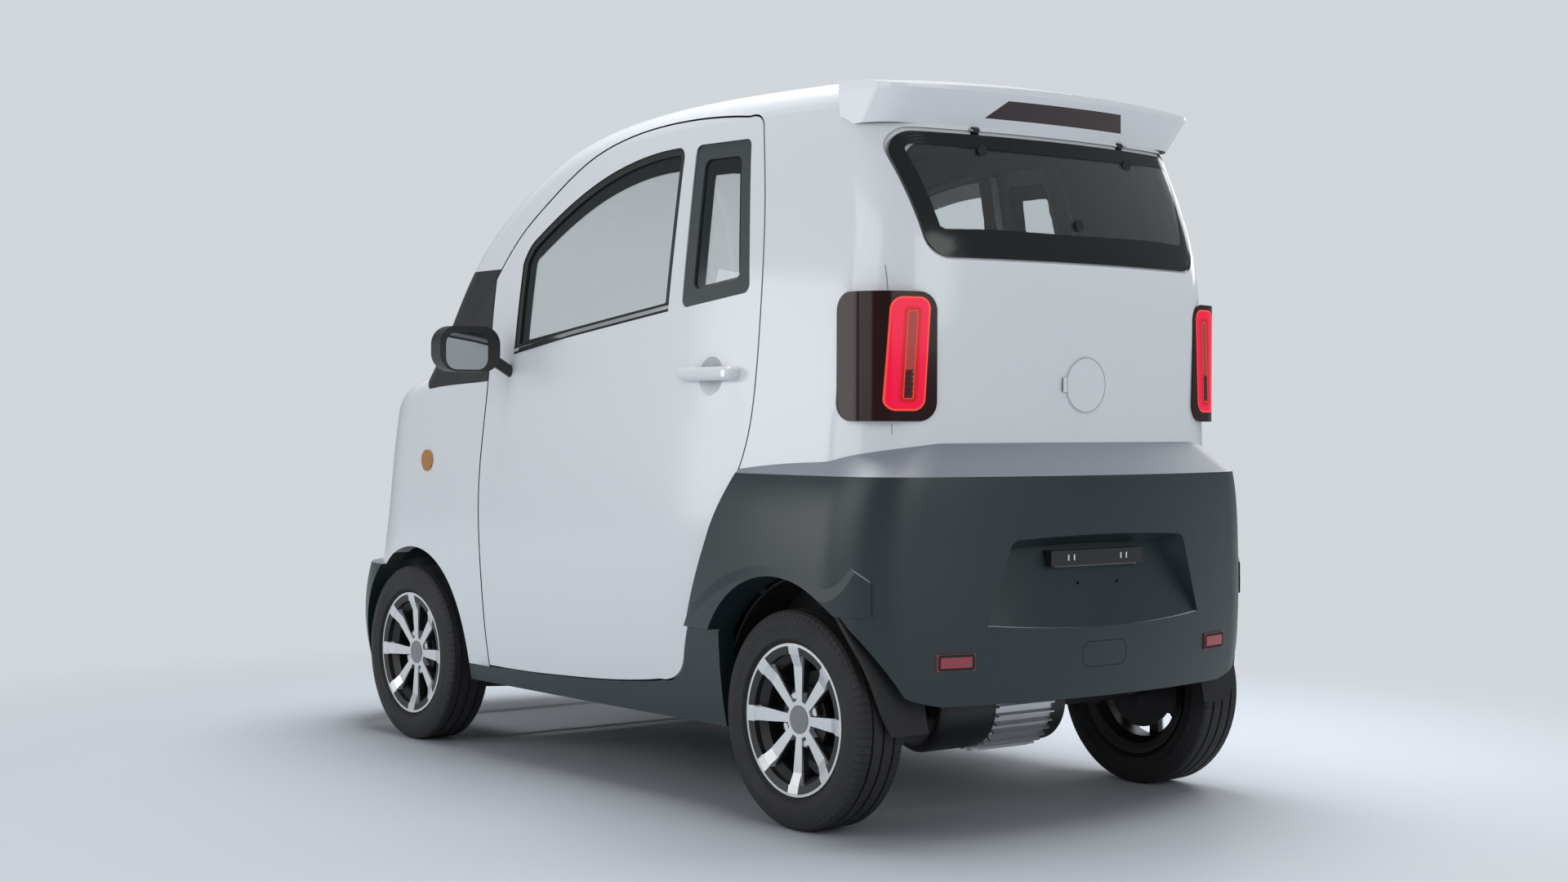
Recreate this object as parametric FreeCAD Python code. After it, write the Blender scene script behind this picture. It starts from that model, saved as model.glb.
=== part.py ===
import FreeCAD, Part
import os
from math import cos, pi, radians, sin, sqrt

# A two-seat electric microcar, nose towards -Y, driver on the +X side, wheels on the
# plane z = 0.  Lengths are in millimetres.  The origin is on the ground, half way
# along the car and on its centre line.

V = FreeCAD.Vector

# Whole car
LENGTH = 2700.0
HEIGHT = 1700.0
BODY_WIDTH = 1272.0
WHEELBASE = 1755.0
TRACK = 1080.0
REAR_OVERHANG = 377.0
HALF_WIDTH = BODY_WIDTH / 2
REAR_AXLE_Y = LENGTH / 2 - REAR_OVERHANG
FRONT_AXLE_Y = REAR_AXLE_Y - WHEELBASE

# Walls, joints between panels and glass
WALL = 45.0
PANEL_GAP = 5.0
SEAT_GAP = 0.3
GLASS_THICKNESS = 5.0
GLASS_DEPTH = 9.0
OVERRUN = 40.0
EDGE_POINTS = 12

# Wheels
TYRE_DIAMETER = 488.0
TYRE_WIDTH = 135.0
RIM_DIAMETER = 339.0
RIM_WIDTH = 114.0
RIM_WALL = 7.0
RIM_SPOKES = 8
LUG_COUNT = 4
LUG_CIRCLE = 114.0
LUG_RADIUS = 9.0
WHEEL_Z = TYRE_DIAMETER / 2
WHEEL_RADIUS = TYRE_DIAMETER / 2
BRAKE_DISC_RADIUS = 105.0
BRAKE_DISC_THICKNESS = 9.0
REAR_ARCH_RADIUS = 318.0
REAR_HOUSING_RADIUS = 315.0
FRONT_ARCH_RADIUS = 300.0


def y_at(share):
    """Place along the car, as a share of the wheelbase behind the rear axle."""
    return REAR_AXLE_Y + share * WHEELBASE


def z_at(share):
    """Height above the ground, as a share of the car's height."""
    return share * HEIGHT


def x_at(share):
    """Place across the car, as a share of half the body width."""
    return share * HALF_WIDTH


# Basic forms

def box(x0, x1, y0, y1, z0, z1):
    return Part.makeBox(x1 - x0, y1 - y0, z1 - z0, V(x0, y0, z0))


def rod(start, end, radius):
    return Part.makeCylinder(radius, (end - start).Length, start, end - start)


def cross_rod(x0, x1, y, z, radius):
    return rod(V(x0, y, z), V(x1, y, z), radius)


def mirrored(shape):
    return shape.mirror(V(0, 0, 0), V(1, 0, 0))


def both_sides(shape):
    return Part.makeCompound([shape, mirrored(shape)])


def joined(shapes):
    first = shapes[0]
    return first.multiFuse(shapes[1:]).removeSplitter()


def hollow(outer, inner):
    """The wall between a closed form and a smaller one inside it."""
    return Part.makeSolid(Part.Compound([outer.Shells[0], inner.Shells[0].reversed()]))


def run_edge(points):
    if len(points) == 2:
        return Part.LineSegment(points[0], points[1]).toShape()
    curve = Part.BSplineCurve()
    curve.interpolate(points)
    return curve.toShape()


def closed_face(runs):
    """A flat face inside runs of points, each a line or a smooth curve."""
    return Part.Face(Part.Wire([run_edge(run) for run in runs]))


def edges_along(shape, direction):
    """Straight edges that run along a direction."""
    found = []
    for edge in shape.Edges:
        ends = [vertex.Point for vertex in edge.Vertexes]
        if len(ends) == 2 and abs((ends[1] - ends[0]).dot(direction)) > edge.Length * 0.999:
            found.append(edge)
    return found


def side_face(share_runs, x):
    runs = []
    for run in share_runs:
        runs.append([V(x, y_at(y), z_at(z)) for y, z in run])
    return closed_face(runs)


def redrawn(face):
    """The same flat face with every edge drawn afresh between shared corners."""
    wire = face.OuterWire
    corners = [vertex.Point for vertex in wire.OrderedVertexes]
    runs = []
    for number, edge in enumerate(wire.OrderedEdges):
        start = corners[number]
        end = corners[(number + 1) % len(corners)]
        if edge.Curve.TypeId == "Part::GeomLine":
            runs.append([start, end])
            continue
        points = edge.discretize(EDGE_POINTS)
        if (points[0] - start).Length > (points[-1] - start).Length:
            points.reverse()
        runs.append([start] + points[1:-1] + [end])
    return closed_face(runs)


def side_prism(share_runs, x0, x1, grow=0.0, corner=0.0):
    """A prism across the car from a side outline, grown and with rounded corners."""
    face = side_face(share_runs, x0)
    if grow:
        face = redrawn(face.makeOffset2D(grow, 2 if corner else 0))
    prism = face.extrude(V(x1 - x0, 0, 0))
    if corner:
        prism = prism.makeFillet(corner, edges_along(prism, V(1, 0, 0)))
    return prism


def rear_prism(points, y0, y1, radius=0.0):
    """A prism along the car from (x, z) corners, its long edges rounded."""
    corners = [V(x, y0, z) for x, z in points]
    face = Part.Face(Part.makePolygon(corners + corners[:1]))
    prism = face.extrude(V(0, y1 - y0, 0))
    if radius:
        prism = prism.makeFillet(radius, edges_along(prism, V(0, 1, 0)))
    return prism


# The body form: rings of arcs stacked in height, cut by a crowned roof

RING_SIDE_RADIUS = 26000.0
RING_SIDE_MID_SHARE = -0.570
RING_REAR_RADIUS = 1750.0
RING_FRONT_RADIUS = 1300.0
REAR_CORNER_RADIUS = 205.0
FRONT_CORNER_RADIUS = 335.0

# height, half width, rear face, front face, rear corner, front corner
RING_SHARES = [
    (0.100, 0.895, 0.166, -1.288, 0.98, 1.00),
    (0.176, 0.931, 0.169, -1.290, 1.00, 1.00),
    (0.265, 0.946, 0.171, -1.276, 1.00, 1.00),
    (0.353, 0.947, 0.172, -1.250, 1.00, 1.00),
    (0.471, 0.937, 0.173, -1.231, 1.00, 0.98),
    (0.588, 0.912, 0.174, -1.214, 0.98, 0.96),
    (0.706, 0.879, 0.175, -1.197, 0.93, 0.93),
    (0.765, 0.858, 0.168, -1.185, 0.88, 0.90),
    (0.853, 0.824, 0.141, -1.168, 0.80, 0.86),
    (0.941, 0.783, 0.108, -1.140, 0.73, 0.82),
    (1.047, 0.726, 0.068, -1.111, 0.68, 0.78),
]


def meeting_point(a, a_radius, b, b_radius):
    """Where two circles in plan meet, on the +X side."""
    dx = b[0] - a[0]
    dy = b[1] - a[1]
    gap = sqrt(dx * dx + dy * dy)
    along = (a_radius**2 - b_radius**2 + gap**2) / (2 * gap)
    across = sqrt(a_radius**2 - along**2)
    mx = a[0] + along * dx / gap
    my = a[1] + along * dy / gap
    first = (mx + across * dy / gap, my - across * dx / gap)
    second = (mx - across * dy / gap, my + across * dx / gap)
    return max(first, second)


def touch_point(big, big_radius, small, small_radius):
    """Where a small circle touches a big one from inside."""
    f = big_radius / (big_radius - small_radius)
    return (big[0] + (small[0] - big[0]) * f, big[1] + (small[1] - big[1]) * f)


def arc_middle(centre, a, b, radius):
    dx = (a[0] + b[0]) / 2 - centre[0]
    dy = (a[1] + b[1]) / 2 - centre[1]
    size = sqrt(dx * dx + dy * dy)
    return (centre[0] + dx * radius / size, centre[1] + dy * radius / size)


def plan_ring(z, half, rear, front, rear_corner, front_corner, side=None):
    """A closed plan outline of eight arcs, each tangent to the next."""
    side_radius, mid_y = side or (RING_SIDE_RADIUS, y_at(RING_SIDE_MID_SHARE))
    side_c = (half - side_radius, mid_y)
    rear_c = (0.0, rear - RING_REAR_RADIUS)
    front_c = (0.0, front + RING_FRONT_RADIUS)
    rear_k = meeting_point(side_c, side_radius - rear_corner,
                           rear_c, RING_REAR_RADIUS - rear_corner)
    front_k = meeting_point(side_c, side_radius - front_corner,
                            front_c, RING_FRONT_RADIUS - front_corner)
    r1 = touch_point(rear_c, RING_REAR_RADIUS, rear_k, rear_corner)
    s1 = touch_point(side_c, side_radius, rear_k, rear_corner)
    s2 = touch_point(side_c, side_radius, front_k, front_corner)
    f1 = touch_point(front_c, RING_FRONT_RADIUS, front_k, front_corner)
    r_mid = arc_middle(rear_k, r1, s1, rear_corner)
    f_mid = arc_middle(front_k, s2, f1, front_corner)
    s_mid = (half, mid_y)

    def at(point, hand):
        return V(hand * point[0], point[1], z)

    trios = [
        (at(r1, -1), V(0, rear, z), at(r1, 1)),
        (at(r1, 1), at(r_mid, 1), at(s1, 1)),
        (at(s1, 1), at(s_mid, 1), at(s2, 1)),
        (at(s2, 1), at(f_mid, 1), at(f1, 1)),
        (at(f1, 1), V(0, front, z), at(f1, -1)),
        (at(f1, -1), at(f_mid, -1), at(s2, -1)),
        (at(s2, -1), at(s_mid, -1), at(s1, -1)),
        (at(s1, -1), at(r_mid, -1), at(r1, -1)),
    ]
    return Part.Wire([Part.Arc(a, b, c).toShape() for a, b, c in trios])


def ring_form(inset):
    wires = []
    for z, half, rear, front, rear_corner, front_corner in RING_SHARES:
        wires.append(plan_ring(
            z_at(z), x_at(half) - inset, y_at(rear) - inset, y_at(front) + inset,
            rear_corner * REAR_CORNER_RADIUS - inset,
            front_corner * FRONT_CORNER_RADIUS - inset))
    return Part.makeLoft(wires, True, False)


# Centre line over the windscreen and roof: place, height, then how far the surface
# falls back and down at full half width
ROOF_SHARES = [
    (-1.066, 0.588, 0.075, 0.000),
    (-0.969, 0.706, 0.065, 0.000),
    (-0.906, 0.789, 0.055, 0.000),
    (-0.789, 0.885, 0.040, 0.010),
    (-0.627, 0.960, 0.020, 0.018),
    (-0.456, 0.992, 0.000, 0.026),
    (-0.285, 1.000, 0.000, 0.028),
    (-0.085, 0.997, 0.000, 0.028),
    (0.057, 0.987, 0.000, 0.027),
    (0.142, 0.969, 0.000, 0.026),
    (0.239, 0.941, 0.000, 0.026),
]
# The same for the hood, carried on under the windscreen
HOOD_SHARES = [
    (-1.262, 0.380, 0.050, 0.000),
    (-1.238, 0.497, 0.045, 0.004),
    (-1.151, 0.562, 0.030, 0.012),
    (-1.060, 0.600, 0.010, 0.014),
    (-0.900, 0.622, 0.000, 0.010),
    (-0.700, 0.634, 0.000, 0.006),
]
CROWN_STATION_SHARES = (-1.05, -0.52, 0.0, 0.52, 1.05)
CROWN_BASE_SHARE = 0.05


def crowned_form(shares, inset):
    """A solid under a crowned centre line, wider than the body."""
    base = z_at(CROWN_BASE_SHARE)
    wires = []
    for station in CROWN_STATION_SHARES:
        x = x_at(station)
        lean = station * station
        points = []
        for y, z, back, down in shares:
            points.append(V(x, y_at(y + back * lean), z_at(z - down * lean) - inset))
        front_foot = V(x, points[0].y, base)
        rear_foot = V(x, points[-1].y, base)
        wires.append(Part.Wire([
            run_edge(points), run_edge([points[-1], rear_foot]),
            run_edge([rear_foot, front_foot]), run_edge([front_foot, points[0]])]))
    return Part.makeLoft(wires, True, False)


RAIL_RADIUS = 88.0
HOOD_EDGE_RADIUS = 60.0


def rounded_rail(form, radius, above, behind, ahead):
    """Round the edges that the crowned top shares with the sides."""
    rails = []
    for edge in form.Edges:
        bounds = edge.BoundBox
        level = bounds.ZLength < bounds.YLength + bounds.XLength
        if level and bounds.ZMin > above and bounds.YMax > behind and bounds.YMin < ahead:
            rails.append(edge)
    return form.makeFillet(radius, rails)


def upper_form(inset):
    """Roof, sides and tail down to the sills, with its rails rounded."""
    form = ring_form(inset).common(crowned_form(ROOF_SHARES, inset))
    return rounded_rail(form, RAIL_RADIUS - inset, z_at(0.5), y_at(-0.5), y_at(0.5))


def nose_form(inset):
    """Front wings and hood as one closed form."""
    form = ring_form(inset).common(crowned_form(HOOD_SHARES, inset))
    return rounded_rail(form, HOOD_EDGE_RADIUS - inset, z_at(0.3), y_at(-1.5), y_at(-0.75))


# Grey tail: a fuller form whose top slopes in to the white body above a crease
TAIL_SIDE_RADIUS = 3000.0
TAIL_SIDE_MID_SHARE = 0.011
TAIL_CORNER_RADIUS = 186.0
TAIL_FRONT_SHARE = -0.5
TAIL_FRONT_CORNER = 100.0
TAIL_SHARES = [
    (0.112, 0.943, 0.208),
    (0.176, 0.975, 0.212),
    (0.247, 0.997, 0.2148),
    (0.335, 1.000, 0.2148),
    (0.412, 0.983, 0.2148),
    (0.462, 0.948, 0.2144),
]
TAIL_BAND_SHARES = [(0.462, 0.948, 0.2144), (0.530, 0.766, 0.1484)]


def tail_wires(shares):
    wires = []
    for z, half, rear in shares:
        wires.append(plan_ring(
            z_at(z), x_at(half), y_at(rear), y_at(TAIL_FRONT_SHARE),
            TAIL_CORNER_RADIUS, TAIL_FRONT_CORNER,
            (TAIL_SIDE_RADIUS, y_at(TAIL_SIDE_MID_SHARE))))
    return wires


def tail_form():
    lower = Part.makeLoft(tail_wires(TAIL_SHARES), True, False)
    band = Part.makeLoft(tail_wires(TAIL_BAND_SHARES), True, True)
    return lower.fuse(band)


OUTER = upper_form(0.0)
INNER = upper_form(WALL)
NOSE = nose_form(0.0)
NOSE_INNER = nose_form(WALL)
TAIL = tail_form()
WALLS = hollow(OUTER, INNER)
NOSE_WALLS = NOSE.cut(NOSE_INNER)

# Doors

HINGE_Y_SHARE = -0.741
HINGE_FOOT_SHARES = (0.930, 0.0)
HINGE_HEAD_SHARES = (0.826, 1.0)
DOOR_OPEN_DEGREES = 65.0
EDGE_BARREL_RADIUS = 80.0
# height, radius of the door's front edge round its hinge line
EDGE_BARREL_SHARES = [
    (0.110, 0.46), (0.144, 0.48), (0.265, 0.72), (0.424, 1.00),
    (0.576, 0.79), (0.676, 0.80), (0.800, 0.83),
]
HINGE_PIN_RADIUS = 5.0
HINGE_PIN_CLEARANCE = 0.3
HINGE_RING_RADIUS = 12.0
HINGE_ARM_WIDTH = 16.0
HINGE_HEIGHT = 30.0
HINGE_HEIGHT_SHARES = (0.290, 0.560)
HINGE_PIN_REACH_SHARE = 0.018
HINGE_REACH = 100.0
HINGE_FOOT_LENGTH = 150.0

DOOR_SHARES = [
    [(-0.850, 0.144), (-0.770, 0.144), (-0.644, 0.145), (-0.536, 0.149), (-0.410, 0.156),
     (-0.300, 0.168)],
    [(-0.300, 0.168), (-0.268, 0.174), (-0.251, 0.187), (-0.243, 0.206)],
    [(-0.243, 0.206), (-0.234, 0.240), (-0.211, 0.300), (-0.179, 0.369), (-0.151, 0.424),
     (-0.125, 0.470), (-0.110, 0.515), (-0.103, 0.588), (-0.104, 0.671), (-0.111, 0.759),
     (-0.124, 0.847), (-0.142, 0.925)],
    [(-0.142, 0.925), (-0.151, 0.944), (-0.176, 0.949)],
    [(-0.176, 0.949), (-0.251, 0.956), (-0.328, 0.958), (-0.449, 0.949), (-0.552, 0.921),
     (-0.656, 0.863), (-0.719, 0.819), (-0.763, 0.773), (-0.850, 0.660)],
    [(-0.850, 0.660), (-0.850, 0.144)],
]
WINDOW_SHARES = [
    [(-0.704, 0.637), (-0.704, 0.775)],
    [(-0.704, 0.775), (-0.690, 0.799), (-0.669, 0.815)],
    [(-0.669, 0.815), (-0.576, 0.865), (-0.508, 0.892), (-0.439, 0.910), (-0.376, 0.919),
     (-0.332, 0.921)],
    [(-0.332, 0.921), (-0.318, 0.918), (-0.311, 0.905)],
    [(-0.311, 0.905), (-0.307, 0.686)],
    [(-0.307, 0.686), (-0.704, 0.637)],
]
QUARTER_SHARES = [
    [(-0.277, 0.689), (-0.286, 0.921)],
    [(-0.286, 0.921), (-0.165, 0.919)],
    [(-0.165, 0.919), (-0.130, 0.706)],
    [(-0.130, 0.706), (-0.277, 0.689)],
]
QUARTER_CORNER = 20.0
WINDOW_SEAL = 18.0
QUARTER_FRAME = 38.0
SEAL_DEPTH = 3.0
SEAL_THICKNESS = 18.0
SIDE_INNER_X = x_at(0.45)
SIDE_OUTER_X = x_at(1.15)

HINGE_FOOT = V(x_at(HINGE_FOOT_SHARES[0]), y_at(HINGE_Y_SHARE), z_at(HINGE_FOOT_SHARES[1]))
HINGE_HEAD = V(x_at(HINGE_HEAD_SHARES[0]), y_at(HINGE_Y_SHARE), z_at(HINGE_HEAD_SHARES[1]))
HINGE_LINE = HINGE_HEAD - HINGE_FOOT


def hinge_point(share):
    """A point of the left door's hinge line at a share of the car's height."""
    return HINGE_FOOT + HINGE_LINE * share


def edge_barrel(grow):
    """The form that the door's front edge sweeps as it turns."""
    points = []
    for height, radius in EDGE_BARREL_SHARES:
        points.append(V(radius * EDGE_BARREL_RADIUS + grow, 0, z_at(height)))
    top = V(0, 0, points[-1].z)
    foot = V(0, 0, points[0].z)
    face = Part.Face(Part.Wire([
        run_edge(points), run_edge([points[-1], top]), run_edge([top, foot]),
        run_edge([foot, points[0]])]))
    turned = face.revolve(V(0, 0, 0), V(0, 0, 1), 360)
    lean = FreeCAD.Rotation(V(0, 0, 1), HINGE_LINE)
    turned.Placement = FreeCAD.Placement(HINGE_FOOT, lean)
    return turned


def door_zone(grow):
    """All that lies within the left door's outline, grown by the panel gap."""
    plate = side_prism(DOOR_SHARES, SIDE_INNER_X, SIDE_OUTER_X, grow)
    bounds = plate.BoundBox
    behind = box(SIDE_INNER_X, SIDE_OUTER_X, y_at(HINGE_Y_SHARE), bounds.YMax + OVERRUN,
                 bounds.ZMin - OVERRUN, bounds.ZMax + OVERRUN)
    return plate.common(behind.fuse(edge_barrel(grow)))


DOOR_ZONE = door_zone(0.0)
DOOR_HOLE = door_zone(PANEL_GAP)
DOOR_HOLES = DOOR_HOLE.fuse(mirrored(DOOR_HOLE))
GLASS_SKIN = hollow(upper_form(GLASS_DEPTH), upper_form(GLASS_DEPTH + GLASS_THICKNESS))
SEAL_SKIN = hollow(upper_form(SEAL_DEPTH), upper_form(SEAL_DEPTH + SEAL_THICKNESS))
WINDOW = side_prism(WINDOW_SHARES, SIDE_INNER_X, SIDE_OUTER_X)
WINDOW_PANE = side_prism(WINDOW_SHARES, SIDE_INNER_X, SIDE_OUTER_X, -WINDOW_SEAL)
QUARTER = side_prism(QUARTER_SHARES, SIDE_INNER_X, SIDE_OUTER_X, 0.0, QUARTER_CORNER)
QUARTER_PANE = side_prism(QUARTER_SHARES, SIDE_INNER_X, SIDE_OUTER_X, -QUARTER_FRAME,
                          QUARTER_CORNER)


def hinge_pin(share, grow=0.0):
    reach = HINGE_PIN_REACH_SHARE
    return rod(hinge_point(share - reach), hinge_point(share + reach), HINGE_PIN_RADIUS + grow)


def hinge_slot(share):
    """Room in the door's edge for one hinge bracket through the whole swing."""
    centre = hinge_point(share)
    half = HINGE_HEIGHT / 2 + PANEL_GAP / 2
    room = HINGE_ARM_WIDTH / 2 + PANEL_GAP
    open_angle = radians(90.0 - DOOR_OPEN_DEGREES)
    reach = HINGE_REACH + OVERRUN
    low = V(centre.x + room * cos(open_angle), centre.y - room * sin(open_angle), 0)
    far = low + V(-sin(open_angle), -cos(open_angle), 0) * reach
    corners = [
        low, far,
        V(centre.x - reach, far.y, 0),
        V(centre.x - reach, centre.y + room, 0),
        V(centre.x, centre.y + room, 0),
    ]
    corners = [V(c.x, c.y, centre.z - half) for c in corners]
    wedge = Part.Face(Part.makePolygon(corners + corners[:1])).extrude(V(0, 0, 2 * half))
    disc = Part.makeCylinder(HINGE_RING_RADIUS + PANEL_GAP, 2 * half,
                             V(centre.x, centre.y, centre.z - half))
    return wedge.fuse(disc)


def hinge_bracket(share):
    """A gooseneck arm from the front post round to the hinge line."""
    centre = hinge_point(share)
    half = HINGE_HEIGHT / 2
    arm = HINGE_ARM_WIDTH / 2
    low = centre.z - half
    high = centre.z + half
    inner_x = centre.x - HINGE_REACH
    foot_y = centre.y - HINGE_FOOT_LENGTH
    ring = Part.makeCylinder(HINGE_RING_RADIUS, HINGE_HEIGHT, V(centre.x, centre.y, low))
    across = box(inner_x - arm, centre.x, centre.y - arm, centre.y + arm, low, high)
    along = box(inner_x - arm, inner_x + arm, foot_y, centre.y, low, high)
    foot = box(inner_x - arm, SIDE_OUTER_X, foot_y - arm, foot_y + arm, low, high)
    whole = joined([ring, across, along, foot.common(INNER)])
    return whole.cut(hinge_pin(share, HINGE_PIN_CLEARANCE))

# Side panels and doors


def door_panel():
    panel = WALLS.common(DOOR_ZONE).cut(WINDOW.fuse(QUARTER)).cut(handle_scoop())
    for share in HINGE_HEIGHT_SHARES:
        panel = panel.cut(hinge_slot(share)).fuse(hinge_pin(share))
    return panel


def door_glass():
    return GLASS_SKIN.common(WINDOW_PANE.fuse(QUARTER_PANE))


def window_trim():
    frames = WINDOW.cut(WINDOW_PANE).fuse(QUARTER.cut(QUARTER_PANE))
    return SEAL_SKIN.common(frames)


HANDLE_SHARES = (-0.197, 0.596)
HANDLE_LENGTH = 215.0
HANDLE_HEIGHT = 32.0
HANDLE_STAND_OFF = 34.0
HANDLE_THICKNESS = 14.0
HANDLE_END = 46.0
SCOOP_RADIUS = 46.0
SCOOP_DEPTH = 17.0


def skin_x(y, z):
    """How far out the body skin lies at a place along and up its side."""
    ray = Part.makeLine(V(SIDE_INNER_X, y, z), V(SIDE_OUTER_X, y, z))
    return max(vertex.X for vertex in ray.common(OUTER).Vertexes)


def door_handle():
    """A pull bar standing off the skin on two feet."""
    y = y_at(HANDLE_SHARES[0])
    z = z_at(HANDLE_SHARES[1])
    half = HANDLE_LENGTH / 2
    skin = min(skin_x(y - half, z), skin_x(y + half, z))
    out = skin + HANDLE_STAND_OFF
    bar = box(skin - HANDLE_THICKNESS, out, y - half, y + half,
              z - HANDLE_HEIGHT / 2, z + HANDLE_HEIGHT / 2)
    bar = bar.makeFillet(HANDLE_HEIGHT / 2.2, bar.Edges)
    hollow = box(SIDE_INNER_X, out - HANDLE_THICKNESS, y - half + HANDLE_END,
                 y + half - HANDLE_END, z - HANDLE_HEIGHT, z + HANDLE_HEIGHT)
    return bar.cut(hollow).cut(OUTER)


def handle_scoop():
    y = y_at(HANDLE_SHARES[0])
    z = z_at(HANDLE_SHARES[1])
    skin = skin_x(y, z)
    ball_radius = (SCOOP_RADIUS**2 + SCOOP_DEPTH**2) / (2 * SCOOP_DEPTH)
    return Part.makeSphere(ball_radius, V(skin + ball_radius - SCOOP_DEPTH, y, z))


MIRROR_SHARES = (-0.712, 0.640)
MIRROR_X_SHARE = 1.125
MIRROR_WIDTH = 178.0
MIRROR_HEIGHT = 118.0
MIRROR_DEPTH = 74.0
MIRROR_FOOT_SHARES = (-0.712, 0.600)
MIRROR_STALK_RADIUS = 15.0


def mirror():
    """A rounded housing on a short stalk from the door's front corner."""
    y = y_at(MIRROR_SHARES[0])
    z = z_at(MIRROR_SHARES[1])
    x = x_at(MIRROR_X_SHARE)
    half = MIRROR_WIDTH / 2
    housing = rear_prism(
        [(x - half, z - MIRROR_HEIGHT / 2), (x + half, z - MIRROR_HEIGHT / 2),
         (x + half, z + MIRROR_HEIGHT / 2), (x - half, z + MIRROR_HEIGHT / 2)],
        y - MIRROR_DEPTH / 2, y + MIRROR_DEPTH / 2, MIRROR_HEIGHT * 0.4)
    front = [e for e in housing.Edges if e.BoundBox.YMax < y]
    housing = housing.makeFillet(MIRROR_DEPTH * 0.45, front)
    foot_y = y_at(MIRROR_FOOT_SHARES[0])
    foot_z = z_at(MIRROR_FOOT_SHARES[1])
    foot = V(skin_x(foot_y, foot_z) - WALL / 2, foot_y, foot_z)
    stalk = rod(foot, V(x - half / 2, y, z), MIRROR_STALK_RADIUS)
    return joined([housing, stalk]).cut(OUTER)


# Openings and glass at the ends

WINDSCREEN_SHARES = [(-0.760, 0.620), (0.760, 0.620), (0.690, 0.945), (-0.690, 0.945)]
WINDSCREEN_CORNER = 70.0
COWL_TOP_SHARE = 0.770
SEAM_Y_SHARE = -0.741


def windscreen_zone(grow=0.0):
    points = []
    for x, z in WINDSCREEN_SHARES:
        side = 1 if x > 0 else -1
        up = 1 if z > 0.8 else -1
        points.append((x_at(x) + side * grow, z_at(z) + up * grow))
    return rear_prism(points, y_at(-1.2), y_at(-0.55), WINDSCREEN_CORNER)


HATCH_SHARES = [(-0.652, 0.742), (0.652, 0.742), (0.722, 0.908), (-0.722, 0.908)]
HATCH_CORNER = 55.0
HATCH_FLANGE = 24.0
HATCH_THICKNESS = 6.0


HATCH_TOP_GAP = 9.0


def hatch_zone(grow=0.0, rise=None):
    """The rear glass seen from behind, grown all round and by a rise at its top."""
    lift = grow if rise is None else rise
    points = []
    for x, z in HATCH_SHARES:
        side = 1 if x > 0 else -1
        level = z_at(z) + lift if z == HATCH_SHARES[-1][1] else z_at(z) - grow
        points.append((x_at(x) + side * grow, level))
    return rear_prism(points, REAR_AXLE_Y, LENGTH, HATCH_CORNER)


HATCH_AXIS_SHARES = (0.1066, 0.9140)
HATCH_HINGE_X_SHARE = 0.362
HATCH_HINGE_WIDTH = 14.0
HATCH_NOTCH_HALF = 12.0
HATCH_NOTCH_DEPTH = 60.0


def hatch_notches():
    """Slots in the shell over the rear glass, one for each hinge arm."""
    axis_y = y_at(HATCH_AXIS_SHARES[0])
    top = z_at(SPOILER_SHARES[0][0])
    slots = []
    for side in (-1, 1):
        x = side * x_at(HATCH_HINGE_X_SHARE)
        slots.append(box(x - HATCH_NOTCH_HALF, x + HATCH_NOTCH_HALF,
                         axis_y - HATCH_NOTCH_DEPTH, axis_y + HATCH_NOTCH_DEPTH,
                         z_at(LATCH_Z_SHARE), top))
    return Part.makeCompound(slots)


def hatch_pins(grow=0.0):
    """The two pins that the rear glass turns on, held in the sides of the slots."""
    pins = []
    for side in (-1, 1):
        x = side * x_at(HATCH_HINGE_X_SHARE)
        pins.append(cross_rod(x - HATCH_PIN_REACH, x + HATCH_PIN_REACH,
                              y_at(HATCH_AXIS_SHARES[0]), z_at(HATCH_AXIS_SHARES[1]),
                              HATCH_PIN_RADIUS + grow))
    return Part.makeCompound(pins)


LAMP_SHARES = (0.640, 0.960, 0.532, 0.697)
LAMP_FRONT_SHARE = 0.057
LAMP_CORNER = 42.0
LAMP_RING_CORNER = 95.0
LAMP_OUT_SHARE = 0.912
LAMP_PROUD = 3.0


def lamp_zone():
    x0 = x_at(LAMP_SHARES[0])
    x1 = x_at(LAMP_SHARES[1])
    z0 = z_at(LAMP_SHARES[2])
    z1 = z_at(LAMP_SHARES[3])
    front = y_at(LAMP_FRONT_SHARE)
    back = y_at(0.3)
    across = rear_prism([(x0, z0), (x1 + OVERRUN, z0), (x1 + OVERRUN, z1), (x0, z1)],
                        front, back, LAMP_CORNER)
    block = box(x0 - OVERRUN, x1, front, back, z0, z1)
    edges = [e for e in block.Edges
             if e.BoundBox.YMax < front + SEAT_GAP and e.BoundBox.XLength > OVERRUN]
    block = block.makeFillet(LAMP_CORNER, edges)
    return across.common(block)


def lamp_form():
    """The lamps' own corner, tighter and further out than the body's."""
    wires = []
    for z in (0.45, 0.75):
        wires.append(plan_ring(
            z_at(z), x_at(LAMP_OUT_SHARE), y_at(0.1745) + LAMP_PROUD, y_at(-1.0),
            LAMP_RING_CORNER, TAIL_FRONT_CORNER))
    return Part.makeLoft(wires, True, True)


LAMP_ZONE = lamp_zone()
LAMP_ZONES = LAMP_ZONE.fuse(mirrored(LAMP_ZONE))


def tail_lamps():
    lamp = lamp_form().common(LAMP_ZONE).cut(INNER)
    return both_sides(lamp)


CHARGE_SHARES = (0.0, 0.5805)
CHARGE_RADIUS = 63.0
CHARGE_SOCKET_RADIUS = 42.0
CHARGE_FLAP_THICKNESS = 4.0
CHARGE_HINGE_REACH = 6.0
CHARGE_HINGE_RADIUS = 3.5


def charge_hole(radius):
    z = z_at(CHARGE_SHARES[1])
    return rod(V(0, y_at(0.1), z), V(0, y_at(0.3), z), radius)


def tail_wall_y(z_share):
    return glass_y(0.0, z_at(z_share))


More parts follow.
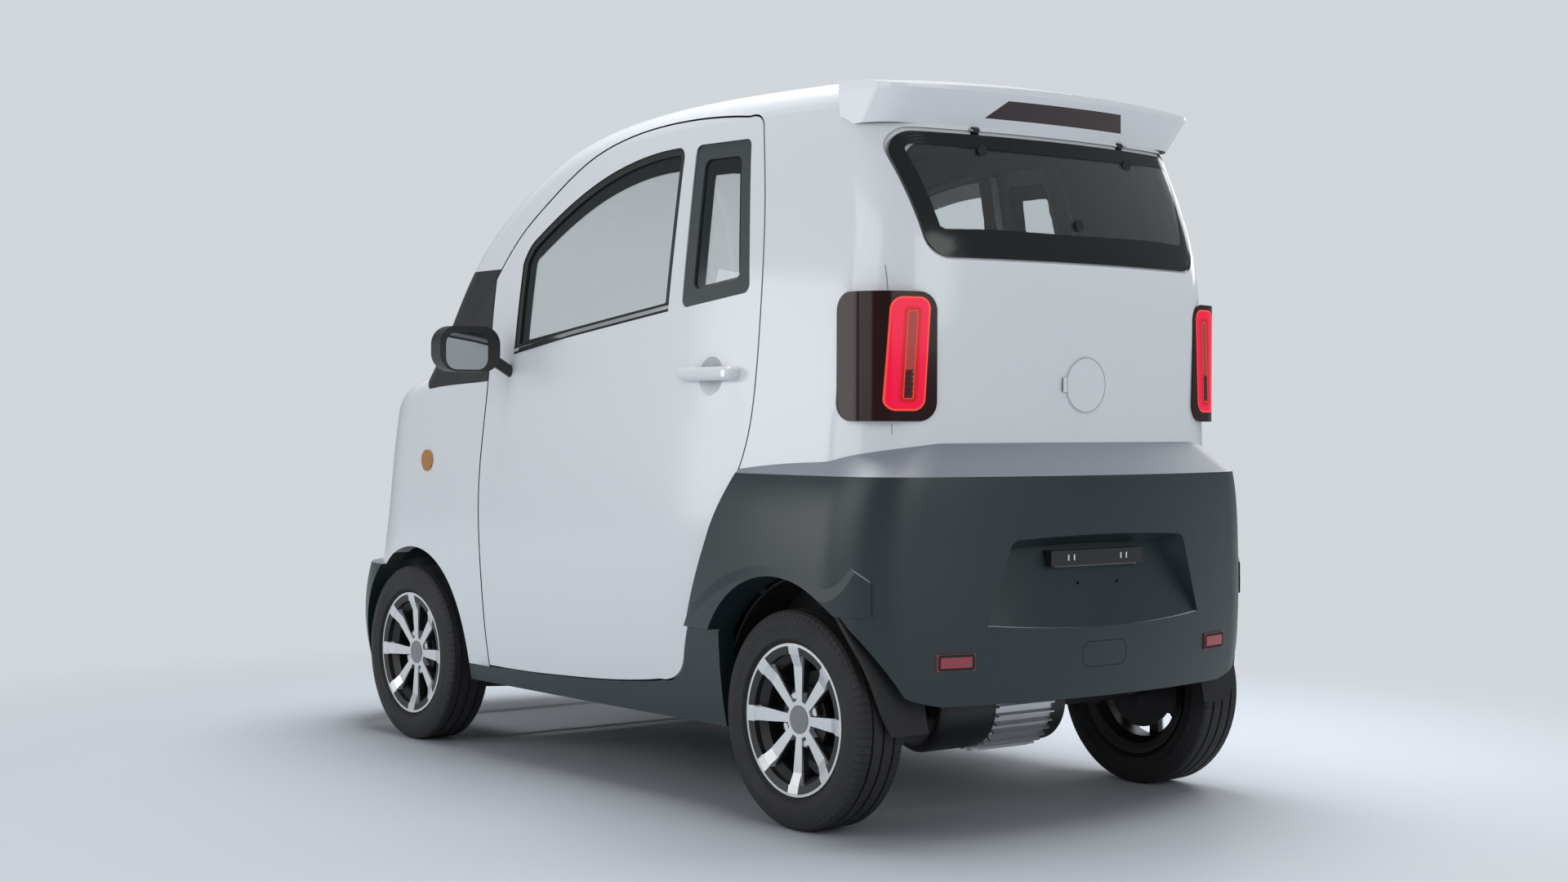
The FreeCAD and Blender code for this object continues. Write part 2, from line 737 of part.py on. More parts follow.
def charge_socket():
    """A round inlet in the tail wall with its contact block."""
    hole = charge_hole(CHARGE_SOCKET_RADIUS)
    outer = WALLS.common(hole)
    face_y = tail_wall_y(CHARGE_SHARES[1])
    dish = rod(V(0, face_y - WALL / 2, z_at(CHARGE_SHARES[1])),
               V(0, face_y + OVERRUN, z_at(CHARGE_SHARES[1])), CHARGE_SOCKET_RADIUS * 0.86)
    core = rod(V(0, face_y - WALL / 2 - SEAT_GAP, z_at(CHARGE_SHARES[1])),
               V(0, face_y - WALL * 0.25, z_at(CHARGE_SHARES[1])), CHARGE_SOCKET_RADIUS * 0.55)
    return outer.cut(dish).fuse(core)


def charge_flap():
    """A round cover on the tail wall, hinged at its left edge."""
    z = z_at(CHARGE_SHARES[1])
    skin = hollow(ring_form(-CHARGE_FLAP_THICKNESS - SEAT_GAP), ring_form(-SEAT_GAP))
    disc = skin.common(charge_hole(CHARGE_RADIUS))
    axis_x = CHARGE_RADIUS + CHARGE_HINGE_REACH
    axis_y = charge_axis_y()
    lug_half = CHARGE_RADIUS * 0.25
    lug = rod(V(axis_x, axis_y, z - lug_half), V(axis_x, axis_y, z + lug_half),
              CHARGE_HINGE_RADIUS)
    arm = box(CHARGE_RADIUS * 0.8, axis_x, axis_y - CHARGE_HINGE_RADIUS * 0.9,
              axis_y + CHARGE_HINGE_RADIUS * 0.4, z - lug_half, z + lug_half)
    return joined([disc, lug, arm.cut(ring_form(-SEAT_GAP))])


def charge_axis_y():
    return tail_wall_y(CHARGE_SHARES[1]) + CHARGE_HINGE_RADIUS + 1.5 * SEAT_GAP


# White shell, hood and wings

FRONT_ARCH = cross_rod(SIDE_INNER_X, SIDE_OUTER_X, FRONT_AXLE_Y, WHEEL_Z, FRONT_ARCH_RADIUS)
REAR_ARCH_CENTRE_SHARE = -0.0114
REAR_ARCH_FRONT_SHARE = -0.164


def rear_arch():
    """The rear wheel opening: a circle set a little ahead of the axle, upright in front."""
    circle = cross_rod(SIDE_INNER_X, SIDE_OUTER_X, y_at(REAR_ARCH_CENTRE_SHARE), WHEEL_Z,
                       REAR_ARCH_RADIUS)
    return circle.common(box(SIDE_INNER_X, SIDE_OUTER_X, y_at(REAR_ARCH_FRONT_SHARE),
                             LENGTH, 0, HEIGHT))


REAR_ARCH = rear_arch()
ARCHES = Part.makeCompound([FRONT_ARCH, mirrored(FRONT_ARCH), REAR_ARCH, mirrored(REAR_ARCH)])

HEADLAMP_SHARES = (0.700, 0.470)
HEADLAMP_SIZE = (105.0, 68.0)
HEADLAMP_TAPER = 0.9
REPEATER_SHARES = (-0.953, 0.464)
REPEATER_RADIUS = 30.0
REPEATER_PROUD = 5.0
BUMPER_TOP_SHARE = 0.285
SILL_BOTTOM_SHARE = 0.115
SILL_TOP_SHARE = 0.141
SILL_RISE_SHARE = 0.249


def everywhere(y0, y1, z0, z1):
    reach = HALF_WIDTH + OVERRUN
    return box(-reach, reach, y0, y1, z0, z1)


def body_shell():
    """Roof, rear quarters and tail wall, with the holes for doors and glass."""
    low = z_at(COWL_TOP_SHARE)
    behind = everywhere(y_at(HINGE_Y_SHARE), y_at(0.4), z_at(0.3), z_at(1.1))
    ahead = everywhere(y_at(-1.2), y_at(HINGE_Y_SHARE), low, z_at(1.1))
    shell = WALLS.common(behind.fuse(ahead))
    shell = shell.cut(windscreen_zone())
    shell = shell.cut(DOOR_HOLES)
    shell = shell.cut(TAIL)
    shell = shell.cut(LAMP_ZONES)
    shell = shell.cut(hatch_zone(-HATCH_FLANGE))
    recess = hatch_zone(PANEL_GAP, HATCH_TOP_GAP).cut(ring_form(HATCH_THICKNESS + SEAT_GAP))
    shell = shell.cut(recess).cut(hatch_notches()).cut(hatch_pins())
    return shell.cut(charge_hole(CHARGE_SOCKET_RADIUS))


def cowl_panel():
    """Black corner pieces and sill below the windscreen."""
    ahead = everywhere(y_at(-1.2), y_at(HINGE_Y_SHARE), z_at(0.5), z_at(COWL_TOP_SHARE))
    panel = WALLS.common(ahead).cut(nose_form(-SEAT_GAP))
    return panel.cut(windscreen_zone()).cut(DOOR_HOLES)


def windscreen():
    return GLASS_SKIN.common(windscreen_zone())


def headlamp_zone():
    centre = V(x_at(HEADLAMP_SHARES[0]), y_at(-1.4), z_at(HEADLAMP_SHARES[1]))
    ellipse = Part.Ellipse(centre, HEADLAMP_SIZE[0], HEADLAMP_SIZE[1])
    ellipse.Axis = V(0, -1, 0)
    face = Part.Face(Part.Wire([ellipse.toShape()]))
    return face.extrude(V(0, y_at(-1.0) - y_at(-1.4), 0))


def front_panel():
    """Hood and both front wings in one moulding."""
    low = z_at(SILL_TOP_SHARE)
    region = everywhere(y_at(-1.4), y_at(HINGE_Y_SHARE), low, z_at(0.75))
    panel = NOSE_WALLS.common(region)
    under_glass = OUTER.common(box(-SIDE_OUTER_X, SIDE_OUTER_X, y_at(-1.2), y_at(-0.5),
                                   z_at(0.5), z_at(0.9)))
    inside = x_at(0.80)
    under_glass = under_glass.common(box(-inside, inside, y_at(-1.2), y_at(-0.5),
                                         z_at(0.5), z_at(0.9)))
    panel = panel.cut(under_glass).cut(ARCHES).cut(DOOR_HOLES)
    lamp = headlamp_zone()
    panel = panel.cut(lamp).cut(mirrored(lamp))
    bumper = everywhere(y_at(-1.4), FRONT_AXLE_Y, z_at(0.0), z_at(BUMPER_TOP_SHARE))
    return panel.cut(bumper)


def headlamps():
    return both_sides(NOSE_WALLS.common(headlamp_zone()))


BUMPER_SHARES = [
    (0.112, 0.930, -1.307),
    (0.200, 0.947, -1.3236),
    (0.285, 0.946, -1.301),
]


def front_bumper():
    """Grey lower front moulding, standing out as a chin."""
    wires = []
    for z, half, front in BUMPER_SHARES:
        wires.append(plan_ring(z_at(z), x_at(half), y_at(-0.3), y_at(front),
                               TAIL_FRONT_CORNER, FRONT_CORNER_RADIUS,
                               (RING_SIDE_RADIUS, y_at(-0.8))))
    form = Part.makeLoft(wires, True, False)
    ahead = everywhere(y_at(-1.4), FRONT_AXLE_Y, z_at(0.0), z_at(BUMPER_TOP_SHARE))
    hollow = ring_form(WALL)
    return form.common(ahead).cut(hollow).cut(ARCHES)


def sills():
    outline = [
        [(-0.850, SILL_BOTTOM_SHARE), (-0.150, SILL_BOTTOM_SHARE)],
        [(-0.150, SILL_BOTTOM_SHARE), (-0.150, SILL_RISE_SHARE)],
        [(-0.150, SILL_RISE_SHARE), (-0.290, SILL_RISE_SHARE - 0.006)],
        [(-0.290, SILL_RISE_SHARE - 0.006), (-0.400, SILL_TOP_SHARE + 0.020)],
        [(-0.400, SILL_TOP_SHARE + 0.020), (-0.740, SILL_TOP_SHARE)],
        [(-0.740, SILL_TOP_SHARE), (-0.850, SILL_TOP_SHARE)],
        [(-0.850, SILL_TOP_SHARE), (-0.850, SILL_BOTTOM_SHARE)],
    ]
    strip = side_prism(outline, SIDE_INNER_X, SIDE_OUTER_X)
    sill = WALLS.common(strip).cut(DOOR_HOLE).cut(ARCHES)
    return both_sides(sill)


PLATE_TOP_SHARE = 0.385
PLATE_HALF_TOP_SHARE = 0.439
PLATE_FOOT_SHARE = 0.264
PLATE_HALF_FOOT_SHARE = 0.546
PLATE_SLOPE_SHARE = 0.42
PLATE_TILT_DEGREES = 17.0
PLATE_REACH = 100.0
PLATE_CORNER = 30.0
PLATE_HOLE_SPACING = 124.0
PLATE_HOLE_RADIUS = 4.0
PLATE_HOLE_SHARE = 0.3205
TAIL_SEAM_SHARE = 0.800
TAIL_BOTTOM_SHARE = 0.172
TAIL_TOP_SHARE = 0.6
TAIL_REAR_Y = REAR_AXLE_Y + REAR_OVERHANG


def plate_outline(reach):
    """The plate recess seen from behind, at a reach behind the tail's rearmost place."""
    grow = reach * PLATE_SLOPE_SHARE
    half_top = x_at(PLATE_HALF_TOP_SHARE) + grow
    half_foot = x_at(PLATE_HALF_FOOT_SHARE) + grow
    top = z_at(PLATE_TOP_SHARE) + grow
    foot = z_at(PLATE_FOOT_SHARE) - grow
    y = TAIL_REAR_Y + reach
    corners = [V(-half_foot, y, foot), V(half_foot, y, foot), V(half_top, y, top),
               V(-half_top, y, top)]
    return Part.makePolygon(corners + corners[:1])


def plate_floor():
    """The tail form tilted forwards about the foot of the plate recess."""
    form = TAIL.copy()
    form.rotate(V(0, TAIL_REAR_Y, z_at(PLATE_FOOT_SHARE)), V(1, 0, 0), PLATE_TILT_DEGREES)
    return form


PLATE_FLOOR = plate_floor()


def plate_recess():
    """A recess that deepens upwards, with sloping side walls and rounded upper corners."""
    shape = Part.makeLoft([plate_outline(OVERRUN), plate_outline(-PLATE_REACH)], True, True)
    upper = []
    for edge in shape.Edges:
        bounds = edge.BoundBox
        if bounds.YLength > OVERRUN and bounds.ZMin > z_at(PLATE_HOLE_SHARE):
            upper.append(edge)
    return shape.makeFillet(PLATE_CORNER, upper).cut(PLATE_FLOOR)


def plate_floor_place(z):
    """A point on the centre line of the recess floor."""
    ray = Part.makeLine(V(0, REAR_AXLE_Y, z), V(0, LENGTH, z))
    return V(0, max(vertex.Y for vertex in ray.common(PLATE_FLOOR).Vertexes), z)


def rear_bumper():
    """Grey tail moulding with a recess for a registration plate."""
    seam = x_at(TAIL_SEAM_SHARE)
    region = box(-seam, seam, REAR_AXLE_Y, LENGTH, z_at(TAIL_BOTTOM_SHARE),
                 z_at(TAIL_TOP_SHARE))
    bumper = TAIL.common(region).cut(INNER).cut(plate_recess())
    place = plate_floor_place(z_at(PLATE_HOLE_SHARE))
    tilt = radians(PLATE_TILT_DEGREES)
    for side in (-1, 1):
        centre = place + V(side * PLATE_HOLE_SPACING / 2, 0, 0)
        bore = V(0, cos(tilt), sin(tilt)) * WALL
        bumper = bumper.cut(rod(centre - bore, centre + bore, PLATE_HOLE_RADIUS))
    room = flap_room(REAR_HOUSING_X)
    return bumper.cut(room).cut(mirrored(room)).removeSplitter()


# Rear wheel arches: a flared lip over the wheel and a flap behind it

ARCH_LIP_RADIUS = 420.0
ARCH_LIP_X_SHARES = (0.959, 1.009)
ARCH_LIP_END_SHARE = 0.2865
ARCH_LIP_PROUD = 7.0
PANEL_EDGE_SHARES = [(0.1088, 0.2865), (0.1271, 0.2597), (0.1425, 0.2216), (0.1614, 0.1904),
                     (0.1781, 0.1738), (0.1860, 0.1690)]
FLAP_SHARES = [(0.1030, 0.2862), (0.1210, 0.2530), (0.1375, 0.2118), (0.1450, 0.1706),
               (0.1527, 0.1365)]
FLAP_THICKNESS = 8.0
FLAP_FLANGE_SHARE = 0.950


def behind_axle(x0, z0, z1):
    return box(x0, SIDE_OUTER_X, REAR_AXLE_Y, LENGTH, z0, z1)


def flap_room(x0):
    """What the tail leaves free for the flap, below the end of the arch lip."""
    edge = [V(x0, y_at(y), z_at(z)) for y, z in PANEL_EDGE_SHARES]
    start, end = edge[0], edge[-1]
    face = Part.Face(Part.Wire([
        run_edge(edge), run_edge([end, V(x0, end.y, 0)]),
        run_edge([V(x0, end.y, 0), V(x0, REAR_AXLE_Y, 0)]),
        run_edge([V(x0, REAR_AXLE_Y, 0), V(x0, REAR_AXLE_Y, start.z)]),
        run_edge([V(x0, REAR_AXLE_Y, start.z), start])]))
    return face.extrude(V(SIDE_OUTER_X - x0, 0, 0))


def arch_lip():
    """A flared band round the wheel opening, fading into the panel outside."""
    inner_x = x_at(ARCH_LIP_X_SHARES[0])
    outer_x = x_at(ARCH_LIP_X_SHARES[1])
    centre = V(inner_x, y_at(REAR_ARCH_CENTRE_SHARE), WHEEL_Z)
    flare = Part.makeCone(ARCH_LIP_RADIUS, REAR_ARCH_RADIUS, outer_x - inner_x, centre,
                          V(1, 0, 0))
    root = Part.makeCylinder(ARCH_LIP_RADIUS, WALL / 2, centre, V(-1, 0, 0))
    front = box(SIDE_INNER_X, SIDE_OUTER_X, y_at(ARCH_FRONT_SHARE), REAR_AXLE_Y,
                z_at(SILL_RISE_SHARE), HEIGHT)
    rear = behind_axle(SIDE_INNER_X, z_at(ARCH_LIP_END_SHARE), HEIGHT)
    skin = TAIL.copy()
    skin.translate(V(ARCH_LIP_PROUD, 0, 0))
    return flare.fuse(root).common(front.fuse(rear)).common(skin)


ARCH_FRONT_SHARE = -0.245


def arch_panels():
    """Grey corner panels over the rear wheels."""
    seam = x_at(TAIL_SEAM_SHARE)
    front = y_at(ARCH_FRONT_SHARE)
    region = box(seam, SIDE_OUTER_X, front, LENGTH, z_at(TAIL_BOTTOM_SHARE),
                 z_at(TAIL_TOP_SHARE))
    ahead = box(seam, SIDE_OUTER_X, front, REAR_AXLE_Y, 0, z_at(SILL_RISE_SHARE))
    panel = TAIL.common(region.cut(ahead)).cut(INNER).fuse(arch_lip().cut(INNER))
    panel = panel.cut(DOOR_HOLE).cut(REAR_ARCH).cut(flap_room(seam))
    return both_sides(panel.removeSplitter())


def flap_outline(grow):
    """The flap's path down behind the tyre, in the side view."""
    return [V(0, y_at(y) + grow, z_at(z)) for y, z in FLAP_SHARES]


def mud_flaps():
    """A curved flap behind each rear wheel, out to the skin of the tail."""
    near = flap_outline(0)
    far = flap_outline(FLAP_THICKNESS)
    sheet = Part.Face(Part.Wire([run_edge(near), run_edge([near[-1], far[-1]]),
                                 run_edge(far), run_edge([far[0], near[0]])]))
    inner_x = REAR_HOUSING_X + SEAT_GAP
    sheet = sheet.extrude(V(SIDE_OUTER_X - inner_x, 0, 0))
    sheet.translate(V(inner_x, 0, 0))
    housing = cross_rod(inner_x, SIDE_OUTER_X, REAR_AXLE_Y, WHEEL_Z,
                        REAR_HOUSING_RADIUS - SEAT_GAP)
    return both_sides(sheet.common(housing).common(TAIL).removeSplitter())


REFLECTOR_SHARES = (0.575, 0.716, 0.2175, 0.239)
REFLECTOR_PROUD = 4.0


def proud_patch(form_out, form, zone):
    return form_out.common(zone).cut(form)


def moved_tail():
    """The tail form shifted back by the height of a raised patch."""
    shape = TAIL.copy()
    shape.translate(V(0, REFLECTOR_PROUD, 0))
    return shape


def rear_reflectors():
    x0 = x_at(REFLECTOR_SHARES[0])
    x1 = x_at(REFLECTOR_SHARES[1])
    zone = rear_prism([(x0, z_at(REFLECTOR_SHARES[2])), (x1, z_at(REFLECTOR_SHARES[2])),
                       (x1, z_at(REFLECTOR_SHARES[3])), (x0, z_at(REFLECTOR_SHARES[3]))],
                      y_at(0.1), y_at(0.3))
    return both_sides(proud_patch(moved_tail(), TAIL, zone))


PLATE_LAMP_HALF = 145.0
PLATE_LAMP_SHARES = (0.344, 0.364)
PLATE_LAMP_DEPTH = 12.0


def plate_lamp():
    """A flat lamp housing on the floor of the recess, over the plate."""
    low = z_at(PLATE_LAMP_SHARES[0])
    high = z_at(PLATE_LAMP_SHARES[1])
    floor_y = plate_floor_place(low).y
    block = box(-PLATE_LAMP_HALF, PLATE_LAMP_HALF, floor_y - PLATE_REACH,
                floor_y + PLATE_LAMP_DEPTH, low, high)
    seat = PLATE_FLOOR.copy()
    seat.translate(V(0, SEAT_GAP, 0))
    return block.cut(seat)


def side_repeaters():
    y = y_at(REPEATER_SHARES[0])
    z = z_at(REPEATER_SHARES[1])
    skin = skin_x(y, z)
    disc = cross_rod(skin - WALL / 2, skin + REPEATER_PROUD, y, z, REPEATER_RADIUS)
    return both_sides(disc.cut(OUTER))


# Spoiler over the rear window

SPOILER_SHARES = [(0.9185, 0.787, 0.1144), (0.9600, 0.796, 0.1495), (1.030, 0.796, 0.1495)]
SPOILER_CORNER = 80.0
SPOILER_FRONT_SHARE = 0.010
BRAKE_LAMP_SHARES = [(-0.343, 0.930), (0.343, 0.930), (0.281, 0.952), (-0.281, 0.952)]
BRAKE_LAMP_DEPTH = 14.0
SPOILER_PROUD = 2.0


def spoiler_form(inset=0.0):
    wires = []
    for z, half, rear in SPOILER_SHARES:
        wires.append(plan_ring(z_at(z), x_at(half), y_at(rear) - inset, y_at(-1.0),
                               SPOILER_CORNER, TAIL_FRONT_CORNER))
    return Part.makeLoft(wires, True, True).common(crowned_form(ROOF_SHARES, -SPOILER_PROUD))


def brake_lamp_zone():
    return rear_prism([(x_at(x), z_at(z)) for x, z in BRAKE_LAMP_SHARES],
                      y_at(0.0), y_at(0.3))


def rear_spoiler():
    region = everywhere(y_at(SPOILER_FRONT_SHARE), y_at(0.3), z_at(0.90), z_at(1.1))
    body = spoiler_form().common(region).cut(OUTER)
    pocket = brake_lamp_zone().cut(spoiler_form(BRAKE_LAMP_DEPTH))
    return body.cut(pocket)


def brake_lamp_high():
    pocket = brake_lamp_zone().cut(spoiler_form(BRAKE_LAMP_DEPTH))
    return spoiler_form().common(pocket).cut(OUTER)


# Rear glass

HATCH_STUD_RADIUS = 13.0
HATCH_STUD_THICKNESS = 4.0
HATCH_EYE_RADIUS = 6.0
HATCH_ARM_THICKNESS = 4.0
HATCH_PIN_RADIUS = 3.5
HATCH_PIN_REACH = 20.0
HATCH_PIN_CLEARANCE = 0.05


def hatch_glass():
    return OUTER.cut(ring_form(HATCH_THICKNESS)).common(hatch_zone())


def hatch_fittings():
    """Round studs through the glass, two of them carrying hinge eyes."""
    axis_y = y_at(HATCH_AXIS_SHARES[0])
    axis_z = z_at(HATCH_AXIS_SHARES[1])
    pieces = []
    for side in (-1, 1):
        x = side * x_at(HATCH_HINGE_X_SHARE)
        pieces.append(hatch_fitting(x, axis_y, axis_z))
    pieces.append(latch_stud())
    return Part.makeCompound(pieces)


HATCH_STUD_DROP = 48.0
LATCH_Z_SHARE = 0.793


def glass_y(x, z):
    """Where the outside of the tail wall lies at a place across and up."""
    ray = Part.makeLine(V(x, y_at(0.0), z), V(x, y_at(0.3), z))
    return max(vertex.Y for vertex in ray.common(OUTER).Vertexes)


def stud(x, z):
    """A disc outside the glass and one inside it."""
    y = glass_y(x, z)
    disc = rod(V(x, y - WALL / 2, z), V(x, y + HATCH_STUD_THICKNESS, z), HATCH_STUD_RADIUS)
    outside = disc.cut(OUTER)
    inside = disc.common(ring_form(HATCH_THICKNESS))
    return outside, inside


def hatch_fitting(x, axis_y, axis_z):
    outside, inside = stud(x, axis_z - HATCH_STUD_DROP)
    half = HATCH_HINGE_WIDTH / 2
    eye = cross_rod(x - half, x + half, axis_y, axis_z, HATCH_EYE_RADIUS)
    arm = box(x - half, x + half, axis_y - OVERRUN, axis_y + OVERRUN,
              axis_z - HATCH_STUD_DROP - HATCH_STUD_RADIUS, axis_z)
    arm = arm.common(ring_form(HATCH_THICKNESS)).cut(
        ring_form(HATCH_THICKNESS + HATCH_ARM_THICKNESS))
    whole = joined([inside, arm, eye])
    bore = cross_rod(x - OVERRUN, x + OVERRUN, axis_y, axis_z,
                     HATCH_PIN_RADIUS + HATCH_PIN_CLEARANCE)
    return Part.makeCompound([outside, whole.cut(bore)])


def latch_stud():
    outside, inside = stud(0.0, z_at(LATCH_Z_SHARE))
    return Part.makeCompound([outside, inside])


# Floor, wheel housings and chassis

FLOOR_Z = 195.0
FLOOR_THICKNESS = 20.0
FLOOR_ENDS_SHARE = (-0.822, -0.190)
FIREWALL_Y_SHARE = -0.925
FIREWALL_TOP_SHARE = 0.565
TOE_Z_SHARE = 0.235
BOOT_FLOOR_Z = 520.0
BOOT_END_SHARE = 0.150
HOUSING_WALL = 6.0
FRONT_HOUSING_X = 335.0
REAR_HOUSING_X = 440.0
AXLE_SLOT_HALF = 62.0
AXLE_SLOT_TOP = 340.0


def band(points, thickness):
    """A bent sheet across the body from (y, z) corners of its upper face."""
    lower = [(y, z - thickness) for y, z in points]
    ring = points + lower[::-1]
    corners = [V(-HALF_WIDTH, y, z) for y, z in ring]
    face = Part.Face(Part.makePolygon(corners + corners[:1]))
    return face.extrude(V(BODY_WIDTH, 0, 0))


def upright_sheet(y, thickness, z0, z1):
    return everywhere(y, y + thickness, z0, z1)


def wheel_housing(axle_y, radius, inner_x):
    """A drum-shaped liner over one wheel, open below and outside."""
    outer = radius + HOUSING_WALL
    drum = cross_rod(inner_x - HOUSING_WALL, HALF_WIDTH, axle_y, WHEEL_Z, outer)
    room = cross_rod(inner_x, HALF_WIDTH + OVERRUN, axle_y, WHEEL_Z, radius)
    above = everywhere(axle_y - outer, axle_y + outer, FLOOR_Z, HEIGHT)
    return drum.cut(room).common(above)


def housing_room(axle_y, radius, inner_x):
    return cross_rod(inner_x - HOUSING_WALL, HALF_WIDTH + OVERRUN, axle_y, WHEEL_Z,
                     radius + HOUSING_WALL)


def floor_tub():
    """Floor, firewall, boot floor and the four wheel housings in one moulding."""
    top = FLOOR_Z + FLOOR_THICKNESS
    wall_y = y_at(FIREWALL_Y_SHARE)
    toe_z = z_at(TOE_Z_SHARE)
    heel_y = y_at(FLOOR_ENDS_SHARE[1])
    pan = band([(y_at(FLOOR_ENDS_SHARE[0]), top), (heel_y, top)], FLOOR_THICKNESS)
    toe = band([(wall_y, toe_z), (y_at(FLOOR_ENDS_SHARE[0]), top)], FLOOR_THICKNESS)
    firewall = upright_sheet(wall_y, FLOOR_THICKNESS / 2, toe_z - FLOOR_THICKNESS,
                             z_at(FIREWALL_TOP_SHARE))
    heel = upright_sheet(heel_y - FLOOR_THICKNESS / 2, FLOOR_THICKNESS / 2, FLOOR_Z,
                         BOOT_FLOOR_Z)
    boot = band([(heel_y - FLOOR_THICKNESS / 2, BOOT_FLOOR_Z), (y_at(BOOT_END_SHARE),
                BOOT_FLOOR_Z)], FLOOR_THICKNESS / 2)
    tub = joined([pan, toe, firewall, heel, boot])
    for axle_y, radius, inner_x in (
            (FRONT_AXLE_Y, FRONT_ARCH_RADIUS, FRONT_HOUSING_X),
            (REAR_AXLE_Y, REAR_HOUSING_RADIUS, REAR_HOUSING_X)):
        room = housing_room(axle_y, radius, inner_x)
        housing = wheel_housing(axle_y, radius, inner_x)
        tub = tub.cut(room).cut(mirrored(room)).fuse(housing).fuse(mirrored(housing))
    slot = everywhere(REAR_AXLE_Y - AXLE_SLOT_HALF, REAR_AXLE_Y + AXLE_SLOT_HALF, 0,
                      AXLE_SLOT_TOP)
    tub = tub.cut(slot)
    return tub.common(INNER).common(NOSE_INNER.fuse(cabin_space())).removeSplitter()


def cabin_space():
    return everywhere(y_at(-0.75), y_at(0.3), z_at(0.0), HEIGHT)


RAIL_X = 300.0
RAIL_WIDTH = 40.0
RAIL_HEIGHT = 40.0
RAIL_FRONT_SHARE = -1.180
RAIL_RISE_SHARES = (-0.186, -0.110)
RAIL_END_SHARE = 0.125
CROSS_SHARES = (-1.180, -0.860, -0.500, -0.240)
JACK_PAD_RADIUS = 28.0
JACK_PAD_DROP = 8.0
JACK_PAD_SHARES = (-0.780, -0.240)
RACK_RADIUS = 17.0
RACK_REACH = 40.0


def chassis_rail():
    """A square tube under the floor that steps up over the rear axle."""
    high = BOOT_FLOOR_Z - FLOOR_THICKNESS / 2
    low = FLOOR_Z
    spine = [(y_at(RAIL_FRONT_SHARE), low), (y_at(RAIL_RISE_SHARES[0]), low),
             (y_at(RAIL_RISE_SHARES[1]), high), (y_at(RAIL_END_SHARE), high)]
    ring = spine + [(y, z - RAIL_HEIGHT) for y, z in spine[::-1]]
    x0 = RAIL_X - RAIL_WIDTH / 2
    corners = [V(x0, y, z) for y, z in ring]
    face = Part.Face(Part.makePolygon(corners + corners[:1]))
    return face.extrude(V(RAIL_WIDTH, 0, 0))


def chassis_frame():
    """Two rails, cross members and round jacking pads."""
    rail = chassis_rail()
    pieces = [rail, mirrored(rail)]
    for share in CROSS_SHARES:
        y = y_at(share)
        pieces.append(box(-RAIL_X, RAIL_X, y, y + RAIL_WIDTH, FLOOR_Z - RAIL_HEIGHT, FLOOR_Z))
    rear_z = BOOT_FLOOR_Z - FLOOR_THICKNESS / 2
    pieces.append(box(-RAIL_X, RAIL_X, y_at(RAIL_END_SHARE) - RAIL_WIDTH,
                      y_at(RAIL_END_SHARE), rear_z - RAIL_HEIGHT, rear_z))
    for share in JACK_PAD_SHARES:
        for side in (-1, 1):
            foot = V(side * RAIL_X, y_at(share), FLOOR_Z - RAIL_HEIGHT - JACK_PAD_DROP)
            pieces.append(Part.makeCylinder(JACK_PAD_RADIUS, JACK_PAD_DROP + SEAT_GAP, foot))
    rack_z = FLOOR_Z - RAIL_HEIGHT / 2
    reach = RAIL_X + RAIL_WIDTH / 2 + RACK_REACH
    pieces.append(cross_rod(-reach, reach, FRONT_AXLE_Y + ARM_SPREAD, rack_z, RACK_RADIUS))
    return joined(pieces)


# Front suspension: two arms and a coil-over on each side, ball joints inside the rim

KINGPIN_X = 490.0
BALL_HEIGHT = 98.0
BALL_PIN_RADIUS = 8.0
BALL_PIN_CLEARANCE = 0.05
ARM_EYE_RADIUS = 17.0
ARM_THICKNESS = 14.0
ARM_SPREAD = 105.0
ARM_BAR = 18.0
DAMPER_X = 398.0
DAMPER_RADIUS = 15.0
SPRING_RADIUS = 30.0
SPRING_PLATE = 5.0
SPRING_TURNS = 6
SPRING_SPAN_SHARES = (0.36, 0.93)
SPRING_TURN_SHARES = (0.35, 0.65)
SPRING_ROOT_SHARE = 0.62


def arm_leg(x0, y0, x1, y1, z, width):
    """One flat bar of a suspension arm."""
    run = V(x1 - x0, y1 - y0, 0)
    side = V(-run.y, run.x, 0).normalize() * (width / 2)
    start = V(x0, y0, z)
    end = V(x1, y1, z)
    corners = [start - side, end - side, end + side, start + side]
    face = Part.Face(Part.makePolygon(corners + corners[:1]))
    return face.extrude(V(0, 0, ARM_THICKNESS))


def suspension_arm(root_x, z):
    legs = []
    for side in (-1, 1):
        legs.append(arm_leg(root_x, FRONT_AXLE_Y + side * ARM_SPREAD, KINGPIN_X,
                            FRONT_AXLE_Y, z, ARM_BAR))
    eye = Part.makeCylinder(ARM_EYE_RADIUS, ARM_THICKNESS, V(KINGPIN_X, FRONT_AXLE_Y, z))
    bore = Part.makeCylinder(BALL_PIN_RADIUS + BALL_PIN_CLEARANCE, ARM_THICKNESS,
                             V(KINGPIN_X, FRONT_AXLE_Y, z))
    beyond = box(SIDE_INNER_X - OVERRUN * 10, root_x, y_at(-1.3), y_at(-0.7), 0.0, HEIGHT)
    return joined(legs + [eye]).cut(bore).cut(beyond)


def coil_over(foot, head):
    """A damper with a coil spring between two plates."""
    axis = head - foot
    length = axis.Length
    unit = axis * (1 / length)
    pieces = [Part.makeCylinder(DAMPER_RADIUS, length, foot, axis)]
    for share in SPRING_SPAN_SHARES:
        pieces.append(Part.makeCylinder(SPRING_RADIUS, SPRING_PLATE, foot + axis * share, unit))
    pieces.append(spring_sleeve(foot, unit, length))
    return joined(pieces)


